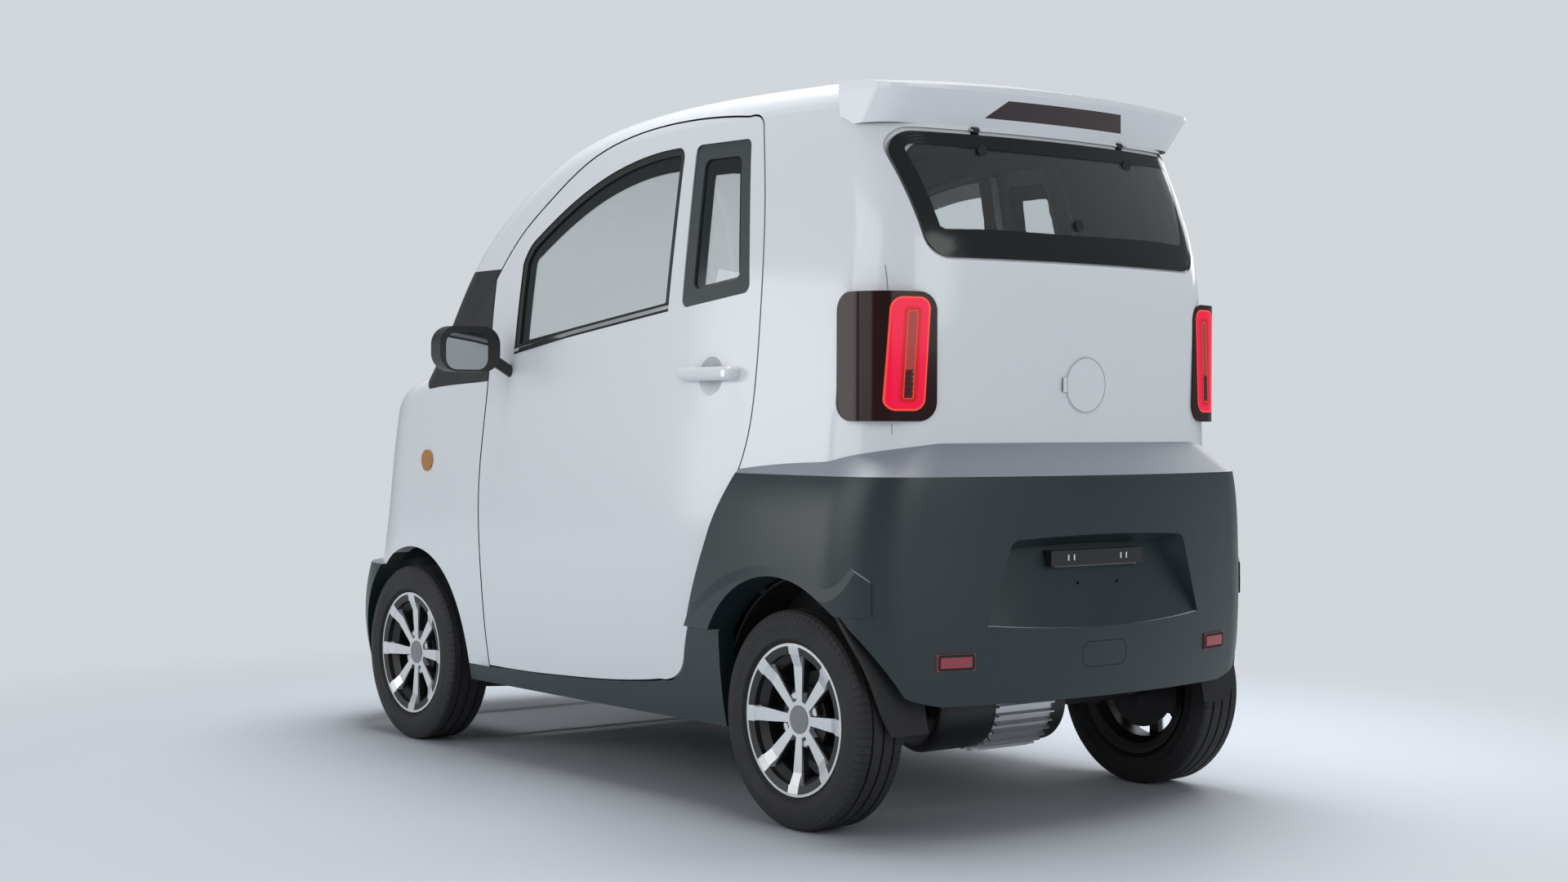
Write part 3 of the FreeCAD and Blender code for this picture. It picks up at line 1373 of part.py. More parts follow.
def spring_sleeve(foot, unit, length):
    """Coil turns as a ridged sleeve round the damper."""
    start = SPRING_SPAN_SHARES[0] * length + SPRING_PLATE / 2
    end = SPRING_SPAN_SHARES[1] * length + SPRING_PLATE / 2
    pitch = (end - start) / SPRING_TURNS
    root = SPRING_RADIUS * SPRING_ROOT_SHARE
    inside = DAMPER_RADIUS - SEAT_GAP
    points = [V(inside, 0, start), V(root, 0, start)]
    for turn in range(SPRING_TURNS):
        low = start + turn * pitch
        for share in SPRING_TURN_SHARES:
            points.append(V(SPRING_RADIUS - SPRING_PLATE, 0, low + pitch * share))
        points.append(V(root, 0, low + pitch))
    points.append(V(inside, 0, end))
    face = Part.Face(Part.makePolygon(points + points[:1]))
    sleeve = face.revolve(V(0, 0, 0), V(0, 0, 1), 360)
    sleeve.Placement = FreeCAD.Placement(foot, FreeCAD.Rotation(V(0, 0, 1), unit))
    return sleeve


def front_suspension():
    low = WHEEL_Z - BALL_HEIGHT - ARM_THICKNESS / 2
    high = WHEEL_Z + BALL_HEIGHT - ARM_THICKNESS / 2
    lower = suspension_arm(RAIL_X, low)
    mount = box(RAIL_X - RAIL_WIDTH / 2, RAIL_X + RAIL_WIDTH / 2,
                FRONT_AXLE_Y - ARM_SPREAD - ARM_BAR, FRONT_AXLE_Y + ARM_SPREAD + ARM_BAR,
                low, FLOOR_Z - RAIL_HEIGHT)
    upper = suspension_arm(FRONT_HOUSING_X, high)
    plate = box(FRONT_HOUSING_X, FRONT_HOUSING_X + HOUSING_WALL,
                FRONT_AXLE_Y - ARM_SPREAD - ARM_BAR, FRONT_AXLE_Y + ARM_SPREAD + ARM_BAR,
                high - ARM_THICKNESS, high + 2 * ARM_THICKNESS)
    saddle = box(DAMPER_X - SPRING_RADIUS, DAMPER_X + SPRING_RADIUS,
                 FRONT_AXLE_Y - ARM_SPREAD / 2, FRONT_AXLE_Y + ARM_SPREAD / 2,
                 low, low + ARM_THICKNESS)
    top = V(DAMPER_X, FRONT_AXLE_Y, WHEEL_Z + FRONT_ARCH_RADIUS)
    damper = coil_over(V(DAMPER_X, FRONT_AXLE_Y, low + ARM_THICKNESS / 2), top)
    room = cross_rod(FRONT_HOUSING_X, SIDE_OUTER_X, FRONT_AXLE_Y, WHEEL_Z, FRONT_ARCH_RADIUS)
    side = joined([lower, mount, saddle, upper, plate, damper.common(room)])
    return both_sides(side)


KNUCKLE_WIDTH = 24.0
KNUCKLE_DEPTH = 44.0
STUB_RADIUS = 14.0
STUB_CLEARANCE = 0.06
STUB_REACH = 34.0
HUB_LENGTH = 66.0
DISC_INSET = -25.0
CALIPER_SIZE = (46.0, 44.0, 78.0)
CALIPER_RADIUS = 92.0
STEERING_ARM_RADIUS = 9.0


def caliper(axle_y):
    """A rounded block that straddles the left brake disc without touching it."""
    disc_x = TRACK / 2 + DISC_INSET
    across, along, tall = CALIPER_SIZE
    block = box(disc_x - across / 2, disc_x + across / 2,
                axle_y + CALIPER_RADIUS - along / 2, axle_y + CALIPER_RADIUS + along / 2,
                WHEEL_Z - tall / 2, WHEEL_Z + tall / 2)
    block = block.makeFillet(PANEL_GAP, block.Edges)
    half = BRAKE_DISC_THICKNESS / 2 + PANEL_GAP / 2
    return block.cut(cross_rod(disc_x - half, disc_x + half, axle_y, WHEEL_Z,
                               BRAKE_DISC_RADIUS + PANEL_GAP))


def knuckle():
    """Upright with ball pins, stub axle, brake caliper and steering arm."""
    wheel_x = TRACK / 2
    half = BALL_HEIGHT - ARM_THICKNESS / 2 - PANEL_GAP / 2
    upright = box(KINGPIN_X - KNUCKLE_WIDTH / 2, KINGPIN_X + KNUCKLE_WIDTH / 2,
                  FRONT_AXLE_Y - KNUCKLE_DEPTH / 2, FRONT_AXLE_Y + KNUCKLE_DEPTH / 2,
                  WHEEL_Z - half, WHEEL_Z + half)
    upright = upright.makeFillet(KNUCKLE_WIDTH / 3, edges_along(upright, V(0, 0, 1)))
    pins = Part.makeCylinder(BALL_PIN_RADIUS, 2 * BALL_HEIGHT + ARM_THICKNESS,
                             V(KINGPIN_X, FRONT_AXLE_Y,
                               WHEEL_Z - BALL_HEIGHT - ARM_THICKNESS / 2))
    stub = cross_rod(KINGPIN_X, wheel_x + STUB_REACH, FRONT_AXLE_Y, WHEEL_Z, STUB_RADIUS)
    disc_x = wheel_x + DISC_INSET
    slot_half = BRAKE_DISC_THICKNESS / 2 + PANEL_GAP / 2
    bracket = box(KINGPIN_X - KNUCKLE_WIDTH / 2, disc_x - slot_half, FRONT_AXLE_Y,
                  FRONT_AXLE_Y + CALIPER_RADIUS, WHEEL_Z - KNUCKLE_WIDTH,
                  WHEEL_Z + KNUCKLE_WIDTH)
    arm = rod(V(KINGPIN_X, FRONT_AXLE_Y, WHEEL_Z - KNUCKLE_DEPTH),
              V(KINGPIN_X - KNUCKLE_DEPTH, FRONT_AXLE_Y + ARM_SPREAD,
                WHEEL_Z - KNUCKLE_DEPTH), STEERING_ARM_RADIUS)
    return joined([upright, pins, stub, caliper(FRONT_AXLE_Y), bracket, arm])


# Rear axle with its motor on the axle line

MOTOR_RADIUS = 115.0
MOTOR_ENDS = (-144.0, -98.0, 80.0, 250.0)
MOTOR_CORE_SHARE = 0.88
MOTOR_CAP_SHARE = 0.90
FIN_COUNT = 32
FIN_THICKNESS = 4.0
AXLE_TUBE_RADIUS = 30.0
AXLE_FLANGE_RADIUS = 52.0
AXLE_END_X = 478.0
TRAILING_ARM_X = 345.0
TRAILING_ARM_SIZE = (34.0, 42.0)
TRAILING_ARM_SHARES = (-0.175, 0.160)
REAR_DAMPER_X = 396.0
REAR_DAMPER_OFFSET = 62.0


def motor_fins():
    """The finned middle of the motor, drawn as one toothed outline."""
    core = MOTOR_RADIUS * MOTOR_CORE_SHARE
    corners = []
    for fin in range(FIN_COUNT):
        middle = 2 * pi * fin / FIN_COUNT
        root = FIN_THICKNESS / core
        tip = FIN_THICKNESS / (2 * MOTOR_RADIUS)
        for radius, angle in ((core, middle - root), (MOTOR_RADIUS, middle - tip),
                              (MOTOR_RADIUS, middle + tip), (core, middle + root)):
            corners.append(V(MOTOR_ENDS[1], REAR_AXLE_Y + radius * cos(angle),
                             WHEEL_Z + radius * sin(angle)))
    face = Part.Face(Part.makePolygon(corners + corners[:1]))
    return face.extrude(V(MOTOR_ENDS[2] - MOTOR_ENDS[1], 0, 0))


def drive_motor():
    """Finned motor body between two plain end housings, bored for the axle."""
    cap = MOTOR_RADIUS * MOTOR_CAP_SHARE
    left = cross_rod(MOTOR_ENDS[2], MOTOR_ENDS[3], REAR_AXLE_Y, WHEEL_Z, cap)
    rim = [e for e in left.Edges if e.BoundBox.XMin > MOTOR_ENDS[3] - SEAT_GAP]
    left = left.makeFillet(MOTOR_RADIUS * 0.2, rim)
    right = cross_rod(MOTOR_ENDS[0], MOTOR_ENDS[1], REAR_AXLE_Y, WHEEL_Z, cap)
    body = joined([left, right, motor_fins()])
    bore = cross_rod(MOTOR_ENDS[0] - OVERRUN, MOTOR_ENDS[3] + OVERRUN, REAR_AXLE_Y,
                     WHEEL_Z, AXLE_TUBE_RADIUS)
    return body.cut(bore)


def rear_axle():
    """Axle tube, stub ends, brake calipers, trailing arms and spring legs."""
    tube = cross_rod(-AXLE_END_X, AXLE_END_X, REAR_AXLE_Y, WHEEL_Z, AXLE_TUBE_RADIUS)
    reach = TRACK / 2 + STUB_REACH
    stub = cross_rod(-reach, reach, REAR_AXLE_Y, WHEEL_Z, STUB_RADIUS)
    side = rear_axle_side()
    return joined([tube, stub] + side + [mirrored(piece) for piece in side])


def rear_axle_side():
    half_x = TRAILING_ARM_SIZE[0] / 2
    high = BOOT_FLOOR_Z - FLOOR_THICKNESS / 2
    arm = trailing_arm(TRAILING_ARM_X - half_x, TRAILING_ARM_X + half_x)
    pivot = cross_rod(RAIL_X + RAIL_WIDTH / 2, TRAILING_ARM_X, y_at(TRAILING_ARM_SHARES[0]),
                      z_at(TRAILING_ARM_SHARES[1]), STUB_RADIUS)
    foot_y = REAR_AXLE_Y + REAR_DAMPER_OFFSET
    leg = coil_over(V(REAR_DAMPER_X, foot_y, WHEEL_Z),
                    V(REAR_DAMPER_X, foot_y - half_x, high + half_x))
    leg = leg.common(everywhere(y_at(-0.3), y_at(0.3), z_at(0.0), high))
    saddle = box(REAR_DAMPER_X - half_x, REAR_DAMPER_X + half_x, REAR_AXLE_Y,
                 foot_y + half_x, WHEEL_Z - half_x / 2, WHEEL_Z + half_x / 2)
    flange = cross_rod(AXLE_END_X - half_x, AXLE_END_X, REAR_AXLE_Y, WHEEL_Z,
                       AXLE_FLANGE_RADIUS)
    disc_x = TRACK / 2 + DISC_INSET
    slot_half = BRAKE_DISC_THICKNESS / 2 + PANEL_GAP / 2
    bracket = box(AXLE_END_X - half_x, disc_x - slot_half, REAR_AXLE_Y,
                  REAR_AXLE_Y + CALIPER_RADIUS, WHEEL_Z - KNUCKLE_WIDTH,
                  WHEEL_Z + KNUCKLE_WIDTH)
    return [arm, pivot, leg, saddle, flange, bracket, caliper(REAR_AXLE_Y)]


def trailing_arm(x0, x1):
    """A bar from its pivot beside the rail to the axle tube."""
    half = TRAILING_ARM_SIZE[1] / 2
    front_y = y_at(TRAILING_ARM_SHARES[0])
    front_z = z_at(TRAILING_ARM_SHARES[1])
    corners = [V(x0, front_y, front_z - half), V(x0, REAR_AXLE_Y, WHEEL_Z - half),
               V(x0, REAR_AXLE_Y, WHEEL_Z + half), V(x0, front_y, front_z + half)]
    face = Part.Face(Part.makePolygon(corners + corners[:1]))
    return face.extrude(V(x1 - x0, 0, 0))


# Battery, seats, dashboard and steering wheel

BATTERY_SIZE = (400.0, 170.0)
BATTERY_SHARES = (-0.456, -0.202)


def battery_pack():
    low = FLOOR_Z + FLOOR_THICKNESS
    return box(-BATTERY_SIZE[0], BATTERY_SIZE[0], y_at(BATTERY_SHARES[0]),
               y_at(BATTERY_SHARES[1]), low, low + BATTERY_SIZE[1])


SEAT_X = 262.0
SEAT_WIDTH = 430.0
SEAT_ROUND = 22.0
HEADREST_WIDTH = 250.0
SEAT_CUSHION_SHARES = [(-0.502, 0.000), (-0.510, 0.055), (-0.482, 0.078), (-0.247, 0.062),
                       (-0.237, 0.000)]
SEAT_BACK_SHARES = [(-0.280, 0.050), (-0.198, 0.390), (-0.150, 0.390), (-0.210, 0.000),
                    (-0.280, 0.000)]
HEADREST_SHARES = [(-0.204, 0.400), (-0.184, 0.490), (-0.144, 0.485), (-0.154, 0.375)]


def seat_slab(shares, width):
    """A rounded cushion from a side outline above the battery."""
    low = FLOOR_Z + FLOOR_THICKNESS + BATTERY_SIZE[1]
    x0 = SEAT_X - width / 2
    corners = [V(x0, y_at(y), low + z_at(z)) for y, z in shares]
    face = Part.Face(Part.makePolygon(corners + corners[:1]))
    slab = face.extrude(V(width, 0, 0))
    upper = [e for e in slab.Edges if e.BoundBox.ZMax > low + SEAT_ROUND]
    return slab.makeFillet(SEAT_ROUND, upper)


def seats():
    """Two bucket seats on the battery cover."""
    cushion = seat_slab(SEAT_CUSHION_SHARES, SEAT_WIDTH)
    back = seat_slab(SEAT_BACK_SHARES, SEAT_WIDTH)
    headrest = seat_slab(HEADREST_SHARES, HEADREST_WIDTH)
    return both_sides(joined([cushion, back, headrest]))


DASH_HALF = 455.0
DASH_SHARES = [(-0.916, 0.552), (-0.780, 0.548), (-0.655, 0.530), (-0.640, 0.498),
               (-0.690, 0.412), (-0.780, 0.368), (-0.850, 0.450), (-0.916, 0.462)]
DASH_ROUND = 12.0
STEER_X = 262.0
STEER_SHARES = (-0.572, 0.506)
STEER_TILT_DEGREES = 25.0
STEER_RADIUS = 172.0
STEER_TUBE = 14.0
STEER_HUB_RADIUS = 46.0
STEER_HUB_LENGTH = 44.0
STEER_SHAFT_RADIUS = 12.0
STEER_SHAFT_CLEARANCE = 0.06
STEER_SHAFT_LENGTH = 75.0
COLUMN_RADIUS = 32.0
COLUMN_LENGTH = 190.0
STEER_SPOKE_SIZE = (34.0, 12.0)
STEER_SPOKE_TURNS = (0.0, 0.5, 0.75)


def steer_centre():
    return V(STEER_X, y_at(STEER_SHARES[0]), z_at(STEER_SHARES[1]))


def steer_down():
    """Direction of the steering column from the wheel into the dashboard."""
    tilt = radians(STEER_TILT_DEGREES)
    return V(0, -cos(tilt), -sin(tilt))


def dashboard():
    """A full-width fascia on the firewall with the steering column."""
    front_y = y_at(FIREWALL_Y_SHARE) + FLOOR_THICKNESS / 2
    corners = [V(-DASH_HALF, max(y_at(y), front_y), z_at(z)) for y, z in DASH_SHARES]
    face = Part.Face(Part.makePolygon(corners + corners[:1]))
    fascia = face.extrude(V(2 * DASH_HALF, 0, 0))
    ends = [e for e in edges_along(fascia, V(1, 0, 0)) if e.BoundBox.YMin > y_at(-0.8)]
    fascia = fascia.makeFillet(DASH_ROUND, ends)
    down = steer_down()
    start = steer_centre() + down * (STEER_HUB_LENGTH + PANEL_GAP)
    column = rod(start, start + down * COLUMN_LENGTH, COLUMN_RADIUS)
    bore = rod(start, start + down * (STEER_SHAFT_LENGTH + PANEL_GAP),
               STEER_SHAFT_RADIUS + STEER_SHAFT_CLEARANCE)
    return joined([fascia, column]).cut(bore)


def steering_wheel():
    """Rim, three spokes, hub and the shaft that turns in the column."""
    rim = Part.makeTorus(STEER_RADIUS - STEER_TUBE, STEER_TUBE)
    hub = Part.makeCylinder(STEER_HUB_RADIUS, STEER_HUB_LENGTH)
    hub = hub.makeFillet(STEER_TUBE / 2, [hub.Edges[0], hub.Edges[2]])
    shaft = Part.makeCylinder(STEER_SHAFT_RADIUS, STEER_HUB_LENGTH + STEER_SHAFT_LENGTH)
    pieces = [rim, hub, shaft]
    half = STEER_SPOKE_SIZE[0] / 2
    for turn in STEER_SPOKE_TURNS:
        spoke = box(0, STEER_RADIUS - STEER_TUBE, -half, half, 0, STEER_SPOKE_SIZE[1])
        spoke.rotate(V(0, 0, 0), V(0, 0, 1), 360 * turn)
        pieces.append(spoke)
    wheel = joined(pieces)
    wheel.Placement = FreeCAD.Placement(
        steer_centre(), FreeCAD.Rotation(V(1, 0, 0), V(0, sin(radians(STEER_TILT_DEGREES)),
                                                      -cos(radians(STEER_TILT_DEGREES))),
                                         steer_down(), "ZXY"))
    return wheel


# Wheels

TYRE_WALL = 11.0
TREAD_HALF = 52.0
GROOVE_WIDTH = 6.0
GROOVE_DEPTH = 5.0
GROOVE_PLACES = (-30.0, 0.0, 30.0)
BEAD_RADIUS = 152.4
BEAD_WIDTH = 14.0
FLANGE_THICKNESS = 6.0
WELL_RADIUS = 136.0
WELL_HALF = 26.0
SPOKE_WIDTHS = (19.0, 34.0)
SPOKE_THICKNESS = 20.0
SPOKE_FACE = 44.0
SPOKE_RAKE = 5.0
SPOKE_ROOT_RADIUS = 34.0
BOSS_RADIUS = 41.0
HUB_CAP_RADIUS = 31.5
HUB_CAP_PROUD = 1.5
HUB_PLATE_RADIUS = 76.0
HUB_PLATE_FACE = 22.0
HUB_PLATE_THICKNESS = 14.0
HUB_TUBE_RADIUS = 30.0
LUG_PROUD = 14.0
LUG_TURN_SHARE = 0.25


def turned(points, axle_y):
    """A body of revolution round the left end of an axle from (x, radius) points."""
    corners = [V(TRACK / 2 + x, axle_y, WHEEL_Z + radius) for x, radius in points]
    face = Part.Face(Part.makePolygon(corners + corners[:1]))
    return face.revolve(V(0, axle_y, WHEEL_Z), V(1, 0, 0), 360)


def tyre(axle_y):
    """A hollow tyre with grooves round its tread."""
    half = TYRE_WIDTH / 2
    bead = RIM_WIDTH / 2 - FLANGE_THICKNESS - SEAT_GAP
    outer = [(bead, BEAD_RADIUS + SEAT_GAP), (bead, RIM_DIAMETER / 2 + SEAT_GAP),
             (half - TYRE_WALL / 3, RIM_DIAMETER / 2 + TYRE_WALL),
             (half, (RIM_DIAMETER / 2 + WHEEL_RADIUS) / 2),
             (half - TYRE_WALL / 3, WHEEL_RADIUS - TYRE_WALL * 2),
             (TREAD_HALF + GROOVE_WIDTH, WHEEL_RADIUS - TYRE_WALL / 2)]
    tread = [(TREAD_HALF, WHEEL_RADIUS - SEAT_GAP * 2)]
    for place in reversed(GROOVE_PLACES):
        tread += [(place + GROOVE_WIDTH / 2, WHEEL_RADIUS),
                  (place + GROOVE_WIDTH / 2, WHEEL_RADIUS - GROOVE_DEPTH),
                  (place - GROOVE_WIDTH / 2, WHEEL_RADIUS - GROOVE_DEPTH),
                  (place - GROOVE_WIDTH / 2, WHEEL_RADIUS)]
    tread.append((-TREAD_HALF, WHEEL_RADIUS - SEAT_GAP * 2))
    far = [(-x, radius) for x, radius in outer[::-1]]
    cavity = [(-bead + BEAD_WIDTH, BEAD_RADIUS + SEAT_GAP),
              (-bead + BEAD_WIDTH / 2, RIM_DIAMETER / 2 + TYRE_WALL),
              (-half + TYRE_WALL, (RIM_DIAMETER / 2 + WHEEL_RADIUS) / 2),
              (-TREAD_HALF, WHEEL_RADIUS - TYRE_WALL * 2)]
    cavity += [(-x, radius) for x, radius in cavity[::-1]]
    return turned(outer + tread + far + cavity, axle_y)


def wheel_rim(axle_y):
    """Eight-spoke wheel with its hub, lugs and brake disc."""
    half = RIM_WIDTH / 2
    lip = RIM_DIAMETER / 2
    flange = half - FLANGE_THICKNESS
    outside = [(half, lip), (flange, lip), (flange, BEAD_RADIUS),
               (WELL_HALF + RIM_WALL * 2, BEAD_RADIUS), (WELL_HALF, WELL_RADIUS)]
    inside = [(half, lip - RIM_WALL), (half - RIM_WALL / 2, BEAD_RADIUS - RIM_WALL),
              (WELL_HALF + RIM_WALL * 2, BEAD_RADIUS - RIM_WALL),
              (WELL_HALF, WELL_RADIUS - RIM_WALL)]
    barrel = turned(outside + [(-x, r) for x, r in outside[::-1]]
                    + [(-x, r) for x, r in inside] + inside[::-1], axle_y)
    pieces = [barrel, wheel_hub(axle_y)] + wheel_spokes(axle_y) + wheel_lugs(axle_y)
    bore = cross_rod(TRACK / 2 - half, TRACK / 2 + STUB_REACH + RIM_WALL / 2, axle_y, WHEEL_Z,
                     STUB_RADIUS + STUB_CLEARANCE)
    return joined(pieces).cut(bore)


def wheel_hub(axle_y):
    """Brake disc, tube, bolt plate, boss and cap in one turned form."""
    back = DISC_INSET - BRAKE_DISC_THICKNESS / 2
    front = DISC_INSET + BRAKE_DISC_THICKNESS / 2
    plate_back = HUB_PLATE_FACE - HUB_PLATE_THICKNESS
    boss_face = SPOKE_FACE - SPOKE_RAKE
    return turned([(back, 0), (back, BRAKE_DISC_RADIUS), (front, BRAKE_DISC_RADIUS),
                   (front, HUB_TUBE_RADIUS), (plate_back, HUB_TUBE_RADIUS),
                   (plate_back, HUB_PLATE_RADIUS), (HUB_PLATE_FACE, HUB_PLATE_RADIUS),
                   (HUB_PLATE_FACE, BOSS_RADIUS), (boss_face, BOSS_RADIUS),
                   (boss_face, HUB_CAP_RADIUS), (boss_face + HUB_CAP_PROUD, HUB_CAP_RADIUS),
                   (boss_face + HUB_CAP_PROUD, 0)], axle_y)


def wheel_spokes(axle_y):
    """Eight tapered spokes, raked in towards the hub."""
    face_x = TRACK / 2 + SPOKE_FACE
    reach = BEAD_RADIUS - RIM_WALL / 2
    spokes = []
    for number in range(RIM_SPOKES):
        turn = 2 * pi * number / RIM_SPOKES
        along = V(0, cos(turn), sin(turn))
        across = V(0, -sin(turn), cos(turn))
        start = V(face_x - SPOKE_RAKE, axle_y, WHEEL_Z) + along * SPOKE_ROOT_RADIUS
        end = V(face_x, axle_y, WHEEL_Z) + along * reach
        corners = [start - across * (SPOKE_WIDTHS[0] / 2), end - across * (SPOKE_WIDTHS[1] / 2),
                   end + across * (SPOKE_WIDTHS[1] / 2), start + across * (SPOKE_WIDTHS[0] / 2)]
        face = Part.Face(Part.makePolygon(corners + corners[:1]))
        spokes.append(face.extrude(V(-SPOKE_THICKNESS, 0, 0)))
    return spokes


def wheel_lugs(axle_y):
    base = TRACK / 2 + HUB_PLATE_FACE
    lugs = []
    for number in range(LUG_COUNT):
        turn = 2 * pi * (number + LUG_TURN_SHARE) / LUG_COUNT
        y = axle_y + LUG_CIRCLE / 2 * cos(turn)
        z = WHEEL_Z + LUG_CIRCLE / 2 * sin(turn)
        lugs.append(cross_rod(base - RIM_WALL, base + LUG_PROUD, y, z, LUG_RADIUS))
    return lugs


def door_hinges():
    """Gooseneck arms on the front posts, two for each door."""
    arms = [hinge_bracket(share) for share in HINGE_HEIGHT_SHARES]
    return Part.makeCompound(arms + [mirrored(arm) for arm in arms])


# Output: one file for each node

os.makedirs("parts", exist_ok=True)

LEFT_KNUCKLE = knuckle()
NODES = {
    "body_shell": body_shell(),
    "front_panel": front_panel(),
    "cowl_panel": cowl_panel(),
    "front_bumper": front_bumper(),
    "rear_bumper": rear_bumper(),
    "arch_panels": arch_panels(),
    "sills": sills(),
    "windscreen": windscreen(),
    "headlamps": headlamps(),
    "tail_lamps": tail_lamps(),
    "rear_spoiler": rear_spoiler(),
    "brake_lamp_high": brake_lamp_high(),
    "floor_tub": floor_tub(),
    "chassis_frame": chassis_frame(),
    "front_suspension": front_suspension(),
    "rear_axle": rear_axle(),
    "drive_motor": drive_motor(),
    "battery_pack": battery_pack(),
    "dashboard": dashboard(),
    "seats": seats(),
    "mud_flaps": mud_flaps(),
    "plate_lamp": plate_lamp(),
    "rear_reflectors": rear_reflectors(),
    "side_repeaters": side_repeaters(),
    "charge_socket": charge_socket(),
    "door_hinges": door_hinges(),
    "hatch_hinges": hatch_pins(),
    "hatch_glass": hatch_glass(),
    "hatch_fittings": hatch_fittings(),
    "charge_flap": charge_flap(),
    "steering_wheel": steering_wheel(),
    "knuckle_left": LEFT_KNUCKLE,
    "knuckle_right": mirrored(LEFT_KNUCKLE),
}
for part_name, left in (("door", door_panel()), ("door_glass", door_glass()),
                        ("window_trim", window_trim()), ("door_handle", door_handle()),
                        ("mirror", mirror())):
    NODES[part_name + "_left"] = left
    NODES[part_name + "_right"] = mirrored(left)
for place, axle in (("front", FRONT_AXLE_Y), ("rear", REAR_AXLE_Y)):
    for part_name, left in (("tyre", tyre(axle)), ("rim", wheel_rim(axle))):
        NODES[part_name + "_" + place + "_left"] = left
        NODES[part_name + "_" + place + "_right"] = mirrored(left)

for node_name, shape in NODES.items():
    shape.exportStep("parts/" + node_name + ".step")
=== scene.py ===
from math import cos, pi, radians, sin
import bpy
import bmesh
import numpy as np
from mathutils import Matrix, Vector
from mathutils.bvhtree import BVHTree


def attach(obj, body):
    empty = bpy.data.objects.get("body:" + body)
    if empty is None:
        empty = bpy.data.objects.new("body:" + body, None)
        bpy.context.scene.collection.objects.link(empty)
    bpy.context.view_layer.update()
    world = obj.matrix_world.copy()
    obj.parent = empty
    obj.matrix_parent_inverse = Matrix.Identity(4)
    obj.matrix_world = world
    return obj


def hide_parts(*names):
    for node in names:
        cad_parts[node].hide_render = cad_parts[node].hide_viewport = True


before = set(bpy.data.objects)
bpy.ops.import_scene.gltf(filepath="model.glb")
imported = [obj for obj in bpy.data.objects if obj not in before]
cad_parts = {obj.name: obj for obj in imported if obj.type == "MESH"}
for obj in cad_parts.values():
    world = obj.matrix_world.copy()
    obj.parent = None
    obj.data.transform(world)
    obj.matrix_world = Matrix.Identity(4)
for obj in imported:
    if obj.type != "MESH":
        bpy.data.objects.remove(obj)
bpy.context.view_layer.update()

# Camera: at the height of the door handle, behind the car's left rear corner, level,
# with a short telephoto lens, so that the tail and the whole left side both show.
scene = bpy.context.scene
camera_place = (3.6114, 4.8264, 0.9131)
yaw, pitch, roll = radians(-127.79252), radians(-0.62114), radians(0.16578)
camera_data = bpy.data.cameras.new("camera")
camera_data.lens = 50.98
camera_data.sensor_width = 36.0
camera_data.clip_end = 60.0
camera = bpy.data.objects.new("camera", camera_data)
scene.collection.objects.link(camera)
scene.camera = camera
ahead = Vector((cos(pitch) * cos(yaw), cos(pitch) * sin(yaw), sin(pitch)))
right = ahead.cross(Vector((0, 0, 1))).normalized()
up = right.cross(ahead)
right, up = cos(roll) * right + sin(roll) * up, cos(roll) * up - sin(roll) * right
camera.matrix_world = Matrix((
    (right.x, up.x, -ahead.x, camera_place[0]),
    (right.y, up.y, -ahead.y, camera_place[1]),
    (right.z, up.z, -ahead.z, camera_place[2]),
    (0, 0, 0, 1)))

# Studio: a pale blue-grey floor that runs into a pale wall of the same colour, lit by
# large soft lamps, so that the paint shows long soft reflections and a dark shadow.
wall_color = (0.64, 0.675, 0.705, 1.0)
fill_color = (0.80, 0.84, 0.88, 1.0)
fill_strength = 0.34
floor_color = (0.47, 0.50, 0.545, 1.0)
floor_reach = 16.0
fade_from, fade_to = 1.5, 3.3
scene.view_settings.view_transform = "Standard"
world = bpy.data.worlds.new("studio")
scene.world = world
world.use_nodes = True
tree = world.node_tree
tree.nodes.clear()
output = tree.nodes.new("ShaderNodeOutputWorld")
seen = tree.nodes.new("ShaderNodeBackground")
seen.inputs["Color"].default_value = wall_color
seen.inputs["Strength"].default_value = 1.0
fill = tree.nodes.new("ShaderNodeBackground")
fill.inputs["Color"].default_value = fill_color
fill.inputs["Strength"].default_value = fill_strength
path = tree.nodes.new("ShaderNodeLightPath")
either = tree.nodes.new("ShaderNodeMath")
either.operation = "MAXIMUM"
tree.links.new(path.outputs["Is Camera Ray"], either.inputs[0])
tree.links.new(path.outputs["Is Transmission Ray"], either.inputs[1])
blend = tree.nodes.new("ShaderNodeMixShader")
tree.links.new(either.outputs[0], blend.inputs[0])
tree.links.new(fill.outputs[0], blend.inputs[1])
tree.links.new(seen.outputs[0], blend.inputs[2])
tree.links.new(blend.outputs[0], output.inputs["Surface"])

bm = bmesh.new()
bmesh.ops.create_grid(bm, x_segments=1, y_segments=1, size=floor_reach)
floor_mesh = bpy.data.meshes.new("floor")
bm.to_mesh(floor_mesh)
bm.free()
floor = bpy.data.objects.new("floor", floor_mesh)
scene.collection.objects.link(floor)
floor_paint = bpy.data.materials.new("studio_floor")
floor_paint.use_nodes = True
tree = floor_paint.node_tree
floor_shader = tree.nodes["Principled BSDF"]
floor_shader.inputs["Base Color"].default_value = floor_color
floor_shader.inputs["Roughness"].default_value = 0.55
floor_shader.inputs["Specular IOR Level"].default_value = 0.2
distance = tree.nodes.new("ShaderNodeVectorMath")
distance.operation = "LENGTH"
tree.links.new(tree.nodes.new("ShaderNodeTexCoord").outputs["Object"], distance.inputs[0])
fade = tree.nodes.new("ShaderNodeMapRange")
fade.interpolation_type = "SMOOTHSTEP"
fade.inputs["From Min"].default_value = fade_from
fade.inputs["From Max"].default_value = fade_to
tree.links.new(distance.outputs["Value"], fade.inputs["Value"])
wall_glow = tree.nodes.new("ShaderNodeEmission")
